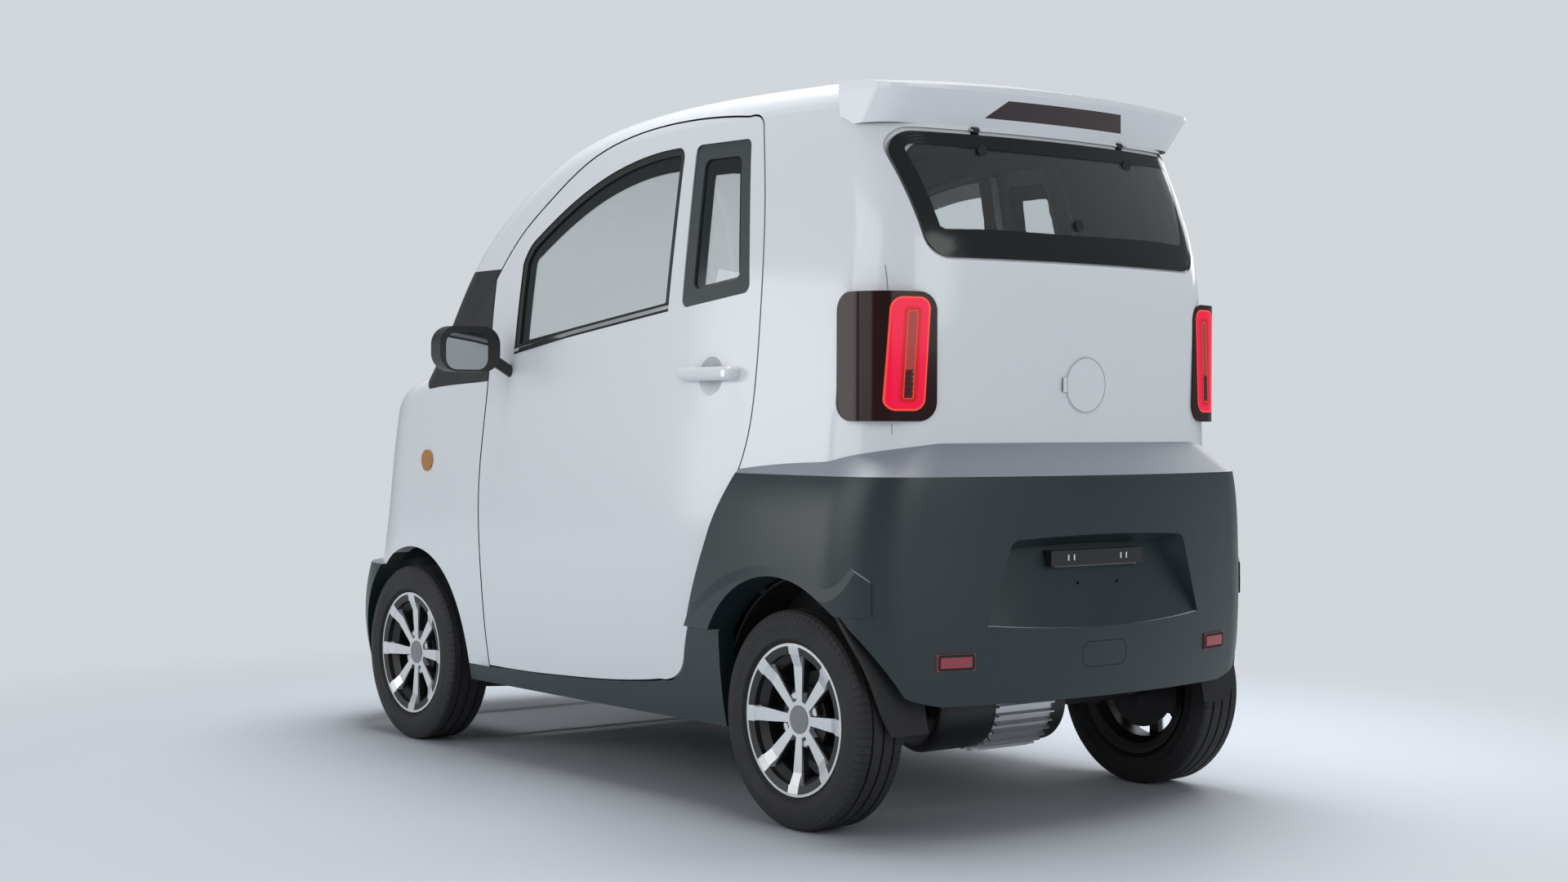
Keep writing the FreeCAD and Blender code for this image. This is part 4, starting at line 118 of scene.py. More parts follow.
wall_glow.inputs["Color"].default_value = wall_color
join = tree.nodes.new("ShaderNodeMixShader")
tree.links.new(fade.outputs["Result"], join.inputs[0])
tree.links.new(floor_shader.outputs[0], join.inputs[1])
tree.links.new(wall_glow.outputs[0], join.inputs[2])
tree.links.new(join.outputs[0], tree.nodes["Material Output"].inputs["Surface"])
floor_mesh.materials.append(floor_paint)


def soft_lamp(name, place, target, size, watts, mirrored=True):
    """A large studio lamp aimed at a point of the car; one that isn't mirrored only lights."""
    data = bpy.data.lights.new(name, "AREA")
    data.shape = "RECTANGLE"
    data.size, data.size_y = size
    data.energy = watts
    lamp = bpy.data.objects.new(name, data)
    lamp.location = place
    lamp.visible_transmission = False
    lamp.visible_glossy = mirrored
    lamp.rotation_euler = (Vector(target) - Vector(place)).to_track_quat("-Z", "Y").to_euler()
    scene.collection.objects.link(lamp)


soft_lamp("ceiling_lamp", (-0.4, -0.3, 4.4), (0, 0.2, 0), (2.6, 3.0), 235)
soft_lamp("left_lamp", (5.0, 0.6, 2.2), (0, 0, 0.8), (3.4, 2.8), 52)
soft_lamp("tail_lamp_front", (0.6, 6.0, 2.4), (0, 1.0, 0.8), (4.0, 2.5), 64)
soft_lamp("right_lamp", (-5.0, -1.0, 3.0), (0, 0, 0.8), (3.0, 2.5), 50)
soft_lamp("corner_lamp", (5.2, -3.4, 1.6), (0.6, 0, 0.5), (2.6, 2.2), 45)
soft_lamp("shoulder_lamp", (-2.7, 1.5, 4.1), (0, 1.3, 0.8), (2.4, 2.4), 72, False)


# White panels: roof shell, doors, wings with hood and rear spoiler are gloss-painted
# plastic under clear coat, bolted to the frame with even dark gaps between them. Their
# inner faces are covered with a dark lining.
def shown_as(node, body, material):
    """A copy that stands for one CAD node and keeps the shading of its true surfaces."""
    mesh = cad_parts[node].data.copy()
    mesh.materials.clear()
    mesh.materials.append(material)
    mesh.polygons.foreach_set("material_index", [0] * len(mesh.polygons))
    piece = bpy.data.objects.new(node + "_shown", mesh)
    scene.collection.objects.link(piece)
    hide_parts(node)
    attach(piece, body)


def new_material(name, color, roughness, metallic=0.0):
    """A material of one shader; returns the material and the shader."""
    material = bpy.data.materials.new(name)
    material.use_nodes = True
    shader = material.node_tree.nodes["Principled BSDF"]
    shader.inputs["Base Color"].default_value = (*color, 1.0)
    shader.inputs["Roughness"].default_value = roughness
    shader.inputs["Metallic"].default_value = metallic
    return material, shader


def object_place(material):
    """The Object output of a coordinate node."""
    return material.node_tree.nodes.new("ShaderNodeTexCoord").outputs["Object"]


def variation_group():
    """Soft uneven dust: a colour drift, a roughness and a fine bump from one place."""
    group = bpy.data.node_groups.new("surface_variation", "ShaderNodeTree")
    face = group.interface
    face.new_socket("Vector", in_out="INPUT", socket_type="NodeSocketVector")
    for name, value in (("Patch Scale", 3.0), ("Grain Scale", 900.0), ("Dark", 0.9),
                        ("Rough Low", 0.2), ("Rough High", 0.3), ("Bump", 0.05)):
        socket = face.new_socket(name, in_out="INPUT", socket_type="NodeSocketFloat")
        socket.default_value = value
    base = face.new_socket("Color", in_out="INPUT", socket_type="NodeSocketColor")
    base.default_value = (0.8, 0.8, 0.8, 1.0)
    face.new_socket("Color", in_out="OUTPUT", socket_type="NodeSocketColor")
    face.new_socket("Roughness", in_out="OUTPUT", socket_type="NodeSocketFloat")
    face.new_socket("Normal", in_out="OUTPUT", socket_type="NodeSocketVector")
    nodes, links = group.nodes, group.links
    inside = nodes.new("NodeGroupInput")
    outside = nodes.new("NodeGroupOutput")
    patches = nodes.new("ShaderNodeTexNoise")
    patches.inputs["Detail"].default_value = 4.0
    links.new(inside.outputs["Vector"], patches.inputs["Vector"])
    links.new(inside.outputs["Patch Scale"], patches.inputs["Scale"])
    grain = nodes.new("ShaderNodeTexNoise")
    grain.inputs["Detail"].default_value = 2.0
    links.new(inside.outputs["Vector"], grain.inputs["Vector"])
    links.new(inside.outputs["Grain Scale"], grain.inputs["Scale"])
    darker = nodes.new("ShaderNodeMapRange")
    darker.inputs["From Min"].default_value = 0.3
    darker.inputs["From Max"].default_value = 0.7
    links.new(patches.outputs["Fac"], darker.inputs["Value"])
    links.new(inside.outputs["Dark"], darker.inputs["To Min"])
    darker.inputs["To Max"].default_value = 1.0
    tint = nodes.new("ShaderNodeVectorMath")
    tint.operation = "SCALE"
    links.new(inside.outputs["Color"], tint.inputs[0])
    links.new(darker.outputs["Result"], tint.inputs["Scale"])
    links.new(tint.outputs["Vector"], outside.inputs["Color"])
    rough = nodes.new("ShaderNodeMapRange")
    rough.inputs["From Min"].default_value = 0.3
    rough.inputs["From Max"].default_value = 0.7
    links.new(patches.outputs["Fac"], rough.inputs["Value"])
    links.new(inside.outputs["Rough Low"], rough.inputs["To Min"])
    links.new(inside.outputs["Rough High"], rough.inputs["To Max"])
    links.new(rough.outputs["Result"], outside.inputs["Roughness"])
    bump = nodes.new("ShaderNodeBump")
    bump.inputs["Distance"].default_value = 0.001
    links.new(inside.outputs["Bump"], bump.inputs["Strength"])
    links.new(grain.outputs["Fac"], bump.inputs["Height"])
    links.new(bump.outputs["Normal"], outside.inputs["Normal"])
    return group


surface_variation = variation_group()


def varied(material, shader, color, **values):
    """Feeds a shader's colour, roughness and normal from the variation group, its node."""
    tree = material.node_tree
    node = tree.nodes.new("ShaderNodeGroup")
    node.node_tree = surface_variation
    tree.links.new(object_place(material), node.inputs["Vector"])
    node.inputs["Color"].default_value = (*color, 1.0)
    for name, value in values.items():
        node.inputs[name.replace("_", " ")].default_value = value
    tree.links.new(node.outputs["Color"], shader.inputs["Base Color"])
    tree.links.new(node.outputs["Roughness"], shader.inputs["Roughness"])
    tree.links.new(node.outputs["Normal"], shader.inputs["Normal"])
    return node


def cabin_group():
    """1 where a surface faces the middle of the cabin, 0 where it faces outwards."""
    cabin_middle = (0.0, 0.25, 1.0)
    group = bpy.data.node_groups.new("faces_cabin", "ShaderNodeTree")
    group.interface.new_socket("Share", in_out="OUTPUT", socket_type="NodeSocketFloat")
    place = group.nodes.new("ShaderNodeTexCoord")
    middle = group.nodes.new("ShaderNodeVectorMath")
    middle.operation = "SUBTRACT"
    middle.inputs[1].default_value = cabin_middle
    group.links.new(place.outputs["Object"], middle.inputs[0])
    facing = group.nodes.new("ShaderNodeVectorMath")
    facing.operation = "DOT_PRODUCT"
    group.links.new(middle.outputs["Vector"], facing.inputs[0])
    group.links.new(place.outputs["Normal"], facing.inputs[1])
    inner = group.nodes.new("ShaderNodeMath")
    inner.operation = "LESS_THAN"
    inner.inputs[1].default_value = 0.0
    group.links.new(facing.outputs["Value"], inner.inputs[0])
    group.links.new(inner.outputs[0], group.nodes.new("NodeGroupOutput").inputs["Share"])
    return group


paint_color, paint_roughness, paint_coat = (0.735, 0.765, 0.80), 0.36, 0.8
lining_color, lining_roughness, lining_coat = (0.035, 0.037, 0.040), 0.75, 0.0
white_paint, paint_shader = new_material("white_gloss_paint", paint_color, paint_roughness)
paint_shader.inputs["Coat Roughness"].default_value = 0.10
paint_tree = white_paint.node_tree
cabin = paint_tree.nodes.new("ShaderNodeGroup")
cabin.node_tree = cabin_group()
lined = paint_tree.nodes.new("ShaderNodeMix")
lined.data_type = "RGBA"
paint_tree.links.new(cabin.outputs["Share"], lined.inputs["Factor"])
lined.inputs[6].default_value = (*paint_color, 1.0)
lined.inputs[7].default_value = (*lining_color, 1.0)
paint_tree.links.new(lined.outputs[2], paint_shader.inputs["Base Color"])
for name, outer, inner in (("Roughness", paint_roughness, lining_roughness),
                           ("Coat Weight", paint_coat, lining_coat)):
    between = paint_tree.nodes.new("ShaderNodeMapRange")
    between.inputs["To Min"].default_value = outer
    between.inputs["To Max"].default_value = inner
    paint_tree.links.new(cabin.outputs["Share"], between.inputs["Value"])
    paint_tree.links.new(between.outputs["Result"], paint_shader.inputs[name])
for node in ("body_shell", "front_panel", "rear_spoiler"):
    shown_as(node, "car", white_paint)
for hand in ("left", "right"):
    shown_as("door_" + hand, "door_" + hand, white_paint)
    shown_as("door_handle_" + hand, "door_" + hand, white_paint)
shown_as("charge_flap", "charge_cover", white_paint)

# Grey panels: tail bumper, rear arch panels, sills and chin are unpainted moulded
# plastic with a fine grain, dark slate grey, with a painted highlight where it faces up.
slate_color = (0.014, 0.027, 0.032)
painted_highlight_color = (0.34, 0.37, 0.42)
highlight_from, highlight_to = 0.35, 0.85
slate_plastic, slate_shader = new_material("slate_plastic", slate_color, 0.4)
slate_shader.inputs["Specular IOR Level"].default_value = 0.58
slate_group = varied(slate_plastic, slate_shader, slate_color, Patch_Scale=4.0,
                     Grain_Scale=700.0, Dark=0.9, Rough_Low=0.33, Rough_High=0.40, Bump=0.06)
slate_tree = slate_plastic.node_tree
facing = slate_tree.nodes.new("ShaderNodeSeparateXYZ")
slate_tree.links.new(slate_tree.nodes.new("ShaderNodeTexCoord").outputs["Normal"],
                     facing.inputs[0])
# Painted highlight: the base colour turns paler where the surface faces up, in place of the
# overhead light reflected on the top band.
upwards = slate_tree.nodes.new("ShaderNodeMapRange")
upwards.inputs["From Min"].default_value = highlight_from
upwards.inputs["From Max"].default_value = highlight_to
slate_tree.links.new(facing.outputs["Z"], upwards.inputs["Value"])
paler = slate_tree.nodes.new("ShaderNodeMix")
paler.data_type = "RGBA"
slate_tree.links.new(upwards.outputs["Result"], paler.inputs["Factor"])
slate_tree.links.new(slate_group.outputs["Color"], paler.inputs[6])
paler.inputs[7].default_value = (*painted_highlight_color, 1.0)
slate_tree.links.new(paler.outputs[2], slate_shader.inputs["Base Color"])
for node in ("rear_bumper", "arch_panels", "sills", "front_bumper"):
    shown_as(node, "car", slate_plastic)

# Black fittings: mirrors, cowl corners, plate-lamp housing, socket, dashboard, floor,
# steering wheel and the rear window's studs are black moulded plastic, finer and glossier
# than the grey panels.
black_color = (0.016, 0.016, 0.018)
black_plastic, black_shader = new_material("black_plastic", black_color, 0.4)
varied(black_plastic, black_shader, black_color, Patch_Scale=9.0, Grain_Scale=1100.0,
       Dark=0.8, Rough_Low=0.30, Rough_High=0.42, Bump=0.06)
for node in ("cowl_panel", "plate_lamp", "charge_socket", "dashboard", "floor_tub"):
    shown_as(node, "car", black_plastic)
for hand in ("left", "right"):
    shown_as("mirror_" + hand, "door_" + hand, black_plastic)
shown_as("steering_wheel", "steering_wheel", black_plastic)
shown_as("hatch_fittings", "rear_window", black_plastic)

# Window frames: one moulding a door. Its front part is a black seal round the pane, its
# part behind the door post is a slate-grey surround of the quarter glass.
post_y = 0.478
seal_color = (0.010, 0.012, 0.013)
surround_color = (0.034, 0.046, 0.050)
window_frame, window_frame_shader = new_material("window_frame", seal_color, 0.45)
frame_tree = window_frame.node_tree
frame_place = frame_tree.nodes.new("ShaderNodeSeparateXYZ")
frame_tree.links.new(object_place(window_frame), frame_place.inputs[0])
behind = frame_tree.nodes.new("ShaderNodeMath")
behind.operation = "GREATER_THAN"
behind.inputs[1].default_value = post_y
frame_tree.links.new(frame_place.outputs["Y"], behind.inputs[0])
shade = frame_tree.nodes.new("ShaderNodeMix")
shade.data_type = "RGBA"
frame_tree.links.new(behind.outputs[0], shade.inputs["Factor"])
shade.inputs[6].default_value = (*seal_color, 1.0)
shade.inputs[7].default_value = (*surround_color, 1.0)
frame_tree.links.new(shade.outputs[2], window_frame_shader.inputs["Base Color"])
for hand in ("left", "right"):
    shown_as("window_trim_" + hand, "door_" + hand, window_frame)

# Mud flaps: dull black rubber sheet, moulded with a fine grain and hung behind the rear
# wheels.
rubber_color = (0.020, 0.020, 0.021)
flap_rubber, rubber_shader = new_material("seal_rubber", rubber_color, 0.7)
varied(flap_rubber, rubber_shader, rubber_color, Patch_Scale=14.0, Grain_Scale=500.0,
       Dark=0.75, Rough_Low=0.6, Rough_High=0.8, Bump=0.15)
shown_as("mud_flaps", "car", flap_rubber)

# Glass: all panes are lightly tinted safety glass. Each has a printed black border on its
# outer face, drawn as a thin sheet a hair above the pane; the front side pane has a deep
# one along its leading and upper edges, where its channel shows through.
glass_color = (0.86, 0.88, 0.885)
glass_shadow = 0.15
border_color = (0.008, 0.011, 0.012)
border_lift = 0.0004
border_step = 0.008
border_strips = 5
border_halvings = 12
tinted_glass, glass_shader = new_material("tinted_glass", glass_color, 0.0)
glass_shader.inputs["Transmission Weight"].default_value = 1.0
glass_shader.inputs["IOR"].default_value = 1.45
glass_tree = tinted_glass.node_tree
ray_kind = glass_tree.nodes.new("ShaderNodeLightPath")
solidity = glass_tree.nodes.new("ShaderNodeMapRange")
solidity.inputs["To Min"].default_value = 1.0
solidity.inputs["To Max"].default_value = glass_shadow
glass_tree.links.new(ray_kind.outputs["Is Shadow Ray"], solidity.inputs["Value"])
glass_tree.links.new(solidity.outputs["Result"], glass_shader.inputs["Alpha"])
shown_as("windscreen", "car", tinted_glass)
shown_as("hatch_glass", "rear_window", tinted_glass)
for hand in ("left", "right"):
    shown_as("door_glass_" + hand, "door_" + hand, tinted_glass)


def border(node, body, outward, width, material):
    """Rings on the outer faces of a node's panes; the width depends on where an edge faces."""
    outward = Vector(outward).normalized()
    bm = bmesh.new()
    bm.from_mesh(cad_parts[node].data)
    bmesh.ops.remove_doubles(bm, verts=bm.verts, dist=0.00003)
    bm.normal_update()
    hidden = [face for face in bm.faces if face.normal.dot(outward) < 0.5]
    bmesh.ops.delete(bm, geom=hidden, context="FACES")
    pane = BVHTree.FromBMesh(bm)
    nearby = {}
    for edge in bm.edges:
        if edge.is_boundary:
            for vert, other in (edge.verts, reversed(edge.verts)):
                nearby.setdefault(vert, []).append(other)
    ring = bmesh.new()
    while nearby:
        vert = next(iter(nearby))
        loop = []
        while vert in nearby:
            loop.append(vert.co.copy())
            vert = next((other for other in nearby.pop(vert) if other in nearby), None)
        rim = []
        for first, second in zip(loop, loop[1:] + loop[:1]):
            steps = max(1, int((second - first).length / border_step))
            rim += [first.lerp(second, step / steps) for step in range(steps)]
        middle = sum(rim, Vector()) / len(rim)
        flat = [point - outward * (point - middle).dot(outward) for point in rim]
        starts = np.array(flat)
        sides = np.roll(starts, -1, 0) - starts
        reach = []
        for point, side in zip(flat, sides):
            away = Vector(side).cross(outward).normalized()
            reach.append(width(away if away.dot(point - middle) > 0 else -away))
        reach = np.array(reach)
        rows = []
        for point, start in zip(rim, flat):
            low, high = 0.0, 1.0
            for halving in range(border_halvings):
                share = (low + high) / 2
                spot = np.array(start.lerp(middle, share))
                along = ((spot - starts) * sides).sum(1) / (sides * sides).sum(1)
                gaps = starts + sides * along.clip(0, 1)[:, None] - spot
                inside = (np.sqrt((gaps * gaps).sum(1)) - reach).min() > 0
                low, high = (low, share) if inside else (share, high)
            row = [point.lerp(middle, high * step / border_strips)
                   for step in range(border_strips + 1)]
            rows.append([ring.verts.new(pane.find_nearest(spot)[0]) for spot in row])
        for row, following in zip(rows, rows[1:] + rows[:1]):
            for step in range(border_strips):
                ring.faces.new((row[step], row[step + 1], following[step + 1], following[step]))
    bm.free()
    bmesh.ops.translate(ring, verts=ring.verts, vec=outward * border_lift)
    for face in ring.faces:
        face.normal_update()
        if face.normal.dot(outward) < 0:
            face.normal_flip()
        face.smooth = True
    mesh = bpy.data.meshes.new(node + "_border")
    ring.to_mesh(mesh)
    ring.free()
    mesh.materials.append(material)
    piece = bpy.data.objects.new(node + "_border", mesh)
    scene.collection.objects.link(piece)
    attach(piece, body)


def rear_border(edge):
    """Widest along the foot of the pane."""
    return 0.038 + 0.020 * max(0.0, -edge.z)


def side_border(edge):
    """Widest along the top and the front of the pane."""
    return 0.006 + 0.034 * max(0.0, edge.z, -edge.y)


border_ink = new_material("border_ink", border_color, 0.12)[0]
border("hatch_glass", "rear_window", (0, 1, 0), rear_border, border_ink)
border("windscreen", "car", (0, -0.8, 0.6), rear_border, border_ink)
for hand, side in (("left", 1), ("right", -1)):
    border("door_glass_" + hand, "door_" + hand, (side, 0, 0), side_border, border_ink)

# Tail lamps: smoked, wrapped-round lenses over a lit panel. A pale outline runs round a
# red rounded panel, and a duller bar with a dark reflector at its foot stands in it.
def math_node(tree, operation, first, second=None):
    """One Math node; its inputs are sockets or numbers. Returns its output."""
    node = tree.nodes.new("ShaderNodeMath")
    node.operation = operation
    for number, value in enumerate((first, second)):
        if isinstance(value, (int, float)):
            node.inputs[number].default_value = value
        elif value is not None:
            tree.links.new(value, node.inputs[number])
    return node.outputs[0]


def outline_group():
    """Distance inside a rounded upright window in the car's x and z, metres."""
    group = bpy.data.node_groups.new("window_distance", "ShaderNodeTree")
    face = group.interface
    face.new_socket("Vector", in_out="INPUT", socket_type="NodeSocketVector")
    for name in ("Centre X", "Centre Z", "Half X", "Half Z", "Corner", "Lean"):
        face.new_socket(name, in_out="INPUT", socket_type="NodeSocketFloat")
    face.new_socket("Inside", in_out="OUTPUT", socket_type="NodeSocketFloat")
    inside = group.nodes.new("NodeGroupInput")
    outside = group.nodes.new("NodeGroupOutput")
    place = group.nodes.new("ShaderNodeSeparateXYZ")
    group.links.new(inside.outputs["Vector"], place.inputs[0])
    given = inside.outputs
    up = math_node(group, "SUBTRACT", place.outputs["Z"], given["Centre Z"])
    across = math_node(group, "ABSOLUTE", place.outputs["X"])
    across = math_node(group, "SUBTRACT", across, given["Centre X"])
    leaned = math_node(group, "MULTIPLY", up, given["Lean"])
    across = math_node(group, "SUBTRACT", across, leaned)
    reach = []
    for value, half in ((across, "Half X"), (up, "Half Z")):
        straight = math_node(group, "SUBTRACT", given[half], given["Corner"])
        from_middle = math_node(group, "ABSOLUTE", value)
        reach.append(math_node(group, "SUBTRACT", from_middle, straight))
    beyond = [math_node(group, "MAXIMUM", value, 0.0) for value in reach]
    square = math_node(group, "ADD", math_node(group, "POWER", beyond[0], 2.0),
                       math_node(group, "POWER", beyond[1], 2.0))
    corner = math_node(group, "SQRT", square)
    core = math_node(group, "MINIMUM", math_node(group, "MAXIMUM", reach[0], reach[1]), 0.0)
    distance = math_node(group, "ADD", corner, core)
    distance = math_node(group, "SUBTRACT", given["Corner"], distance)
    group.links.new(distance, outside.inputs["Inside"])
    return group


window_distance = outline_group()


def inside_window(material, centre, half, corner, lean):
    """How far each point lies inside a rounded window, as a socket."""
    node = material.node_tree.nodes.new("ShaderNodeGroup")
    node.node_tree = window_distance
    material.node_tree.links.new(object_place(material), node.inputs["Vector"])
    names = ("Centre X", "Centre Z", "Half X", "Half Z", "Corner", "Lean")
    for name, value in zip(names, (*centre, *half, corner, lean)):
        node.inputs[name].default_value = value
    return node.outputs["Inside"]


def ramp(tree, value, low, high, to_low=0.0, to_high=1.0):
    """A smooth step of a value between two limits."""
    node = tree.nodes.new("ShaderNodeMapRange")
    node.interpolation_type = "SMOOTHSTEP"
    tree.links.new(value, node.inputs["Value"])
    for name, number in (("From Min", low), ("From Max", high), ("To Min", to_low),
                         ("To Max", to_high)):
        node.inputs[name].default_value = number
    return node.outputs["Result"]


def mixed(tree, share, first, second):
    """A colour mix; first and second are colours or sockets."""
    node = tree.nodes.new("ShaderNodeMix")
    node.data_type = "RGBA"
    tree.links.new(share, node.inputs["Factor"])
    for name, value in (("A", first), ("B", second)):
        socket = [s for s in node.inputs if s.name == name and s.type == "RGBA"][0]
        if isinstance(value, tuple):
            socket.default_value = (*value, 1.0)
        else:
            tree.links.new(value, socket)
    return [s for s in node.outputs if s.type == "RGBA"][0]


smoked_color = (0.020, 0.004, 0.005)
unlit = (0.0, 0.0, 0.0)
panel_outer, panel_inner = (0.88, 0.002, 0.055), (0.52, 0.004, 0.004)
bar_color, bar_edge_color = (0.34, 0.045, 0.040), (0.95, 0.06, 0.045)
cell_bright, cell_dark = (0.22, 0.07, 0.06), (0.035, 0.006, 0.006)
outline_color = (1.0, 0.10, 0.045)
panel_middle, panel_half, panel_corner = (0.474, 1.050), (0.045, 0.123), 0.026
bar_middle, bar_half, bar_corner = (0.469, 1.048), (0.0115, 0.095), 0.003
lamp_lean = -0.06
cells_top = 1.017
lamp_strength = 0.95
tail_lens, tail_shader = new_material("tail_lamp_lens", smoked_color, 0.16)
tail_tree = tail_lens.node_tree
tail_shader.inputs["Specular IOR Level"].default_value = 0.2
tail_shader.inputs["Coat Weight"].default_value = 0.12
tail_shader.inputs["Coat Roughness"].default_value = 0.06
panel = inside_window(tail_lens, panel_middle, panel_half, panel_corner, lamp_lean)
bar = inside_window(tail_lens, bar_middle, bar_half, bar_corner, lamp_lean)
lit = ramp(tail_tree, panel, -0.001, 0.002)
outline = math_node(tail_tree, "SUBTRACT", ramp(tail_tree, panel, -0.001, 0.001),
                    ramp(tail_tree, panel, 0.0015, 0.005))
bar_edge = math_node(tail_tree, "SUBTRACT", ramp(tail_tree, bar, -0.0015, 0.0),
                     ramp(tail_tree, bar, 0.0, 0.0025))
bar_face = ramp(tail_tree, bar, 0.0, 0.0015)
tail_place = tail_tree.nodes.new("ShaderNodeSeparateXYZ")
tail_tree.links.new(object_place(tail_lens), tail_place.inputs[0])
below = ramp(tail_tree, tail_place.outputs["Z"], cells_top, 1.014)
cells = tail_tree.nodes.new("ShaderNodeTexVoronoi")
cells.inputs["Scale"].default_value = 95.0
cells.inputs["Randomness"].default_value = 0.15
tail_tree.links.new(object_place(tail_lens), cells.inputs["Vector"])
around_bar = ramp(tail_tree, bar, -0.013, -0.003)
panel_red = mixed(tail_tree, around_bar, panel_outer, panel_inner)
glow = mixed(tail_tree, lit, unlit, panel_red)
glow = mixed(tail_tree, bar_face, glow, bar_color)
reflector = mixed(tail_tree, ramp(tail_tree, cells.outputs["Distance"], 0.15, 0.5),
                  cell_bright, cell_dark)
glow = mixed(tail_tree, math_node(tail_tree, "MULTIPLY", bar_face, below), glow, reflector)
glow = mixed(tail_tree, bar_edge, glow, bar_edge_color)
glow = mixed(tail_tree, outline, glow, outline_color)
lens_normal = tail_tree.nodes.new("ShaderNodeSeparateXYZ")
tail_tree.links.new(tail_tree.nodes.new("ShaderNodeTexCoord").outputs["Normal"],
                    lens_normal.inputs[0])
faces_back = ramp(tail_tree, lens_normal.outputs["Y"], 0.0, 0.1)
glow = mixed(tail_tree, faces_back, unlit, glow)
tail_tree.links.new(glow, tail_shader.inputs["Emission Color"])
tail_shader.inputs["Emission Strength"].default_value = lamp_strength
shown_as("tail_lamps", "car", tail_lens)

# Other lenses: two red reflectors low on the tail, a smoky maroon brake lamp under the
# spoiler, an amber repeater on each front wing and clear headlamp covers.
red_lens = new_material("red_lens", (0.34, 0.055, 0.075), 0.22)[0]
shown_as("rear_reflectors", "car", red_lens)
smoky_lens = new_material("smoky_lens", (0.022, 0.006, 0.008), 0.16)[0]
shown_as("brake_lamp_high", "car", smoky_lens)
amber_lens = new_material("amber_lens", (0.42, 0.20, 0.055), 0.25)[0]
shown_as("side_repeaters", "car", amber_lens)
clear_lens, clear_shader = new_material("clear_lens", (0.30, 0.33, 0.35), 0.10)
clear_shader.inputs["Coat Weight"].default_value = 1.0
shown_as("headlamps", "car", clear_lens)

# Tyres: hollow black rubber with three grooves round the tread, short sipes across its
# shoulders, and fine rings and a rim-guard ridge moulded in the side walls.
def polar_group():
    """Radius and turn of a point about an axle that lies across the car."""
    group = bpy.data.node_groups.new("axle_polar", "ShaderNodeTree")
    face = group.interface
    face.new_socket("Vector", in_out="INPUT", socket_type="NodeSocketVector")
    face.new_socket("Axle Y", in_out="INPUT", socket_type="NodeSocketFloat")
    face.new_socket("Axle Z", in_out="INPUT", socket_type="NodeSocketFloat")
    for name in ("Radius", "Turn", "Across"):
        face.new_socket(name, in_out="OUTPUT", socket_type="NodeSocketFloat")
    given = group.nodes.new("NodeGroupInput")
    result = group.nodes.new("NodeGroupOutput")
    place = group.nodes.new("ShaderNodeSeparateXYZ")
    group.links.new(given.outputs["Vector"], place.inputs[0])
    along = math_node(group, "SUBTRACT", place.outputs["Y"], given.outputs["Axle Y"])
    up = math_node(group, "SUBTRACT", place.outputs["Z"], given.outputs["Axle Z"])
    square = math_node(group, "ADD", math_node(group, "POWER", along, 2.0),
                       math_node(group, "POWER", up, 2.0))
    group.links.new(math_node(group, "SQRT", square), result.inputs["Radius"])
    group.links.new(math_node(group, "ARCTAN2", up, along), result.inputs["Turn"])
    group.links.new(math_node(group, "ABSOLUTE", place.outputs["X"]), result.inputs["Across"])
    return group


axle_polar = polar_group()
axle_y = {"front": -0.782, "rear": 0.973}
axle_z = 0.244


def polar(material, place):
    """The polar outputs about the front or the rear axle, inside a material."""
    node = material.node_tree.nodes.new("ShaderNodeGroup")
    node.node_tree = axle_polar
    material.node_tree.links.new(object_place(material), node.inputs["Vector"])
    node.inputs["Axle Y"].default_value = axle_y[place]
    node.inputs["Axle Z"].default_value = axle_z
    return node.outputs


def tyre_material(place):
    """Rubber for the two tyres of one axle: its relief is drawn about that axle."""
    color = (0.022, 0.022, 0.024)
    sipes_round, rings_per_metre = 84.0, 1500.0
    tyre_middle, shoulder_from, tread_from = 0.540, 0.033, 0.228
    material, shader = new_material("tyre_rubber_" + place, color, 0.7)
    group = varied(material, shader, color, Patch_Scale=10.0, Grain_Scale=420.0,
                   Dark=0.7, Rough_Low=0.62, Rough_High=0.82, Bump=0.10)
    tree = material.node_tree
    at = polar(material, place)
    sipes = math_node(tree, "SINE", math_node(tree, "MULTIPLY", at["Turn"], sipes_round))
    sipes = ramp(tree, sipes, 0.75, 0.95, 1.0, 0.0)
    on_tread = ramp(tree, at["Radius"], tread_from, tread_from + 0.004)
    aside = math_node(tree, "ABSOLUTE", math_node(tree, "SUBTRACT", at["Across"], tyre_middle))
    shoulder = math_node(tree, "MULTIPLY",
                         ramp(tree, aside, shoulder_from, shoulder_from + 0.002), on_tread)
    cut = math_node(tree, "MULTIPLY", math_node(tree, "SUBTRACT", 1.0, sipes), shoulder)
    rings = math_node(tree, "SINE",
                      math_node(tree, "MULTIPLY", at["Radius"], rings_per_metre))
    wall = math_node(tree, "MULTIPLY", ramp(tree, at["Radius"], 0.196, 0.198),
                     ramp(tree, at["Radius"], 0.214, 0.212))
    rings = math_node(tree, "MULTIPLY", math_node(tree, "MULTIPLY", rings, 0.16), wall)
    ridge = math_node(tree, "MULTIPLY", ramp(tree, at["Radius"], 0.176, 0.1775),
                      ramp(tree, at["Radius"], 0.1815, 0.180))
    height = math_node(tree, "ADD", math_node(tree, "ADD", rings, ridge),
                       math_node(tree, "MULTIPLY", cut, -2.5))
    bump = tree.nodes.new("ShaderNodeBump")
    bump.inputs["Distance"].default_value = 0.0015
    bump.inputs["Strength"].default_value = 0.9
    tree.links.new(height, bump.inputs["Height"])
    tree.links.new(group.outputs["Normal"], bump.inputs["Normal"])
    tree.links.new(bump.outputs["Normal"], shader.inputs["Normal"])
    return material


for place in ("front", "rear"):
    tyre_rubber = tyre_material(place)
    for hand in ("left", "right"):
        wheel = place + "_" + hand
        shown_as("tyre_" + wheel, "wheel_" + wheel, tyre_rubber)


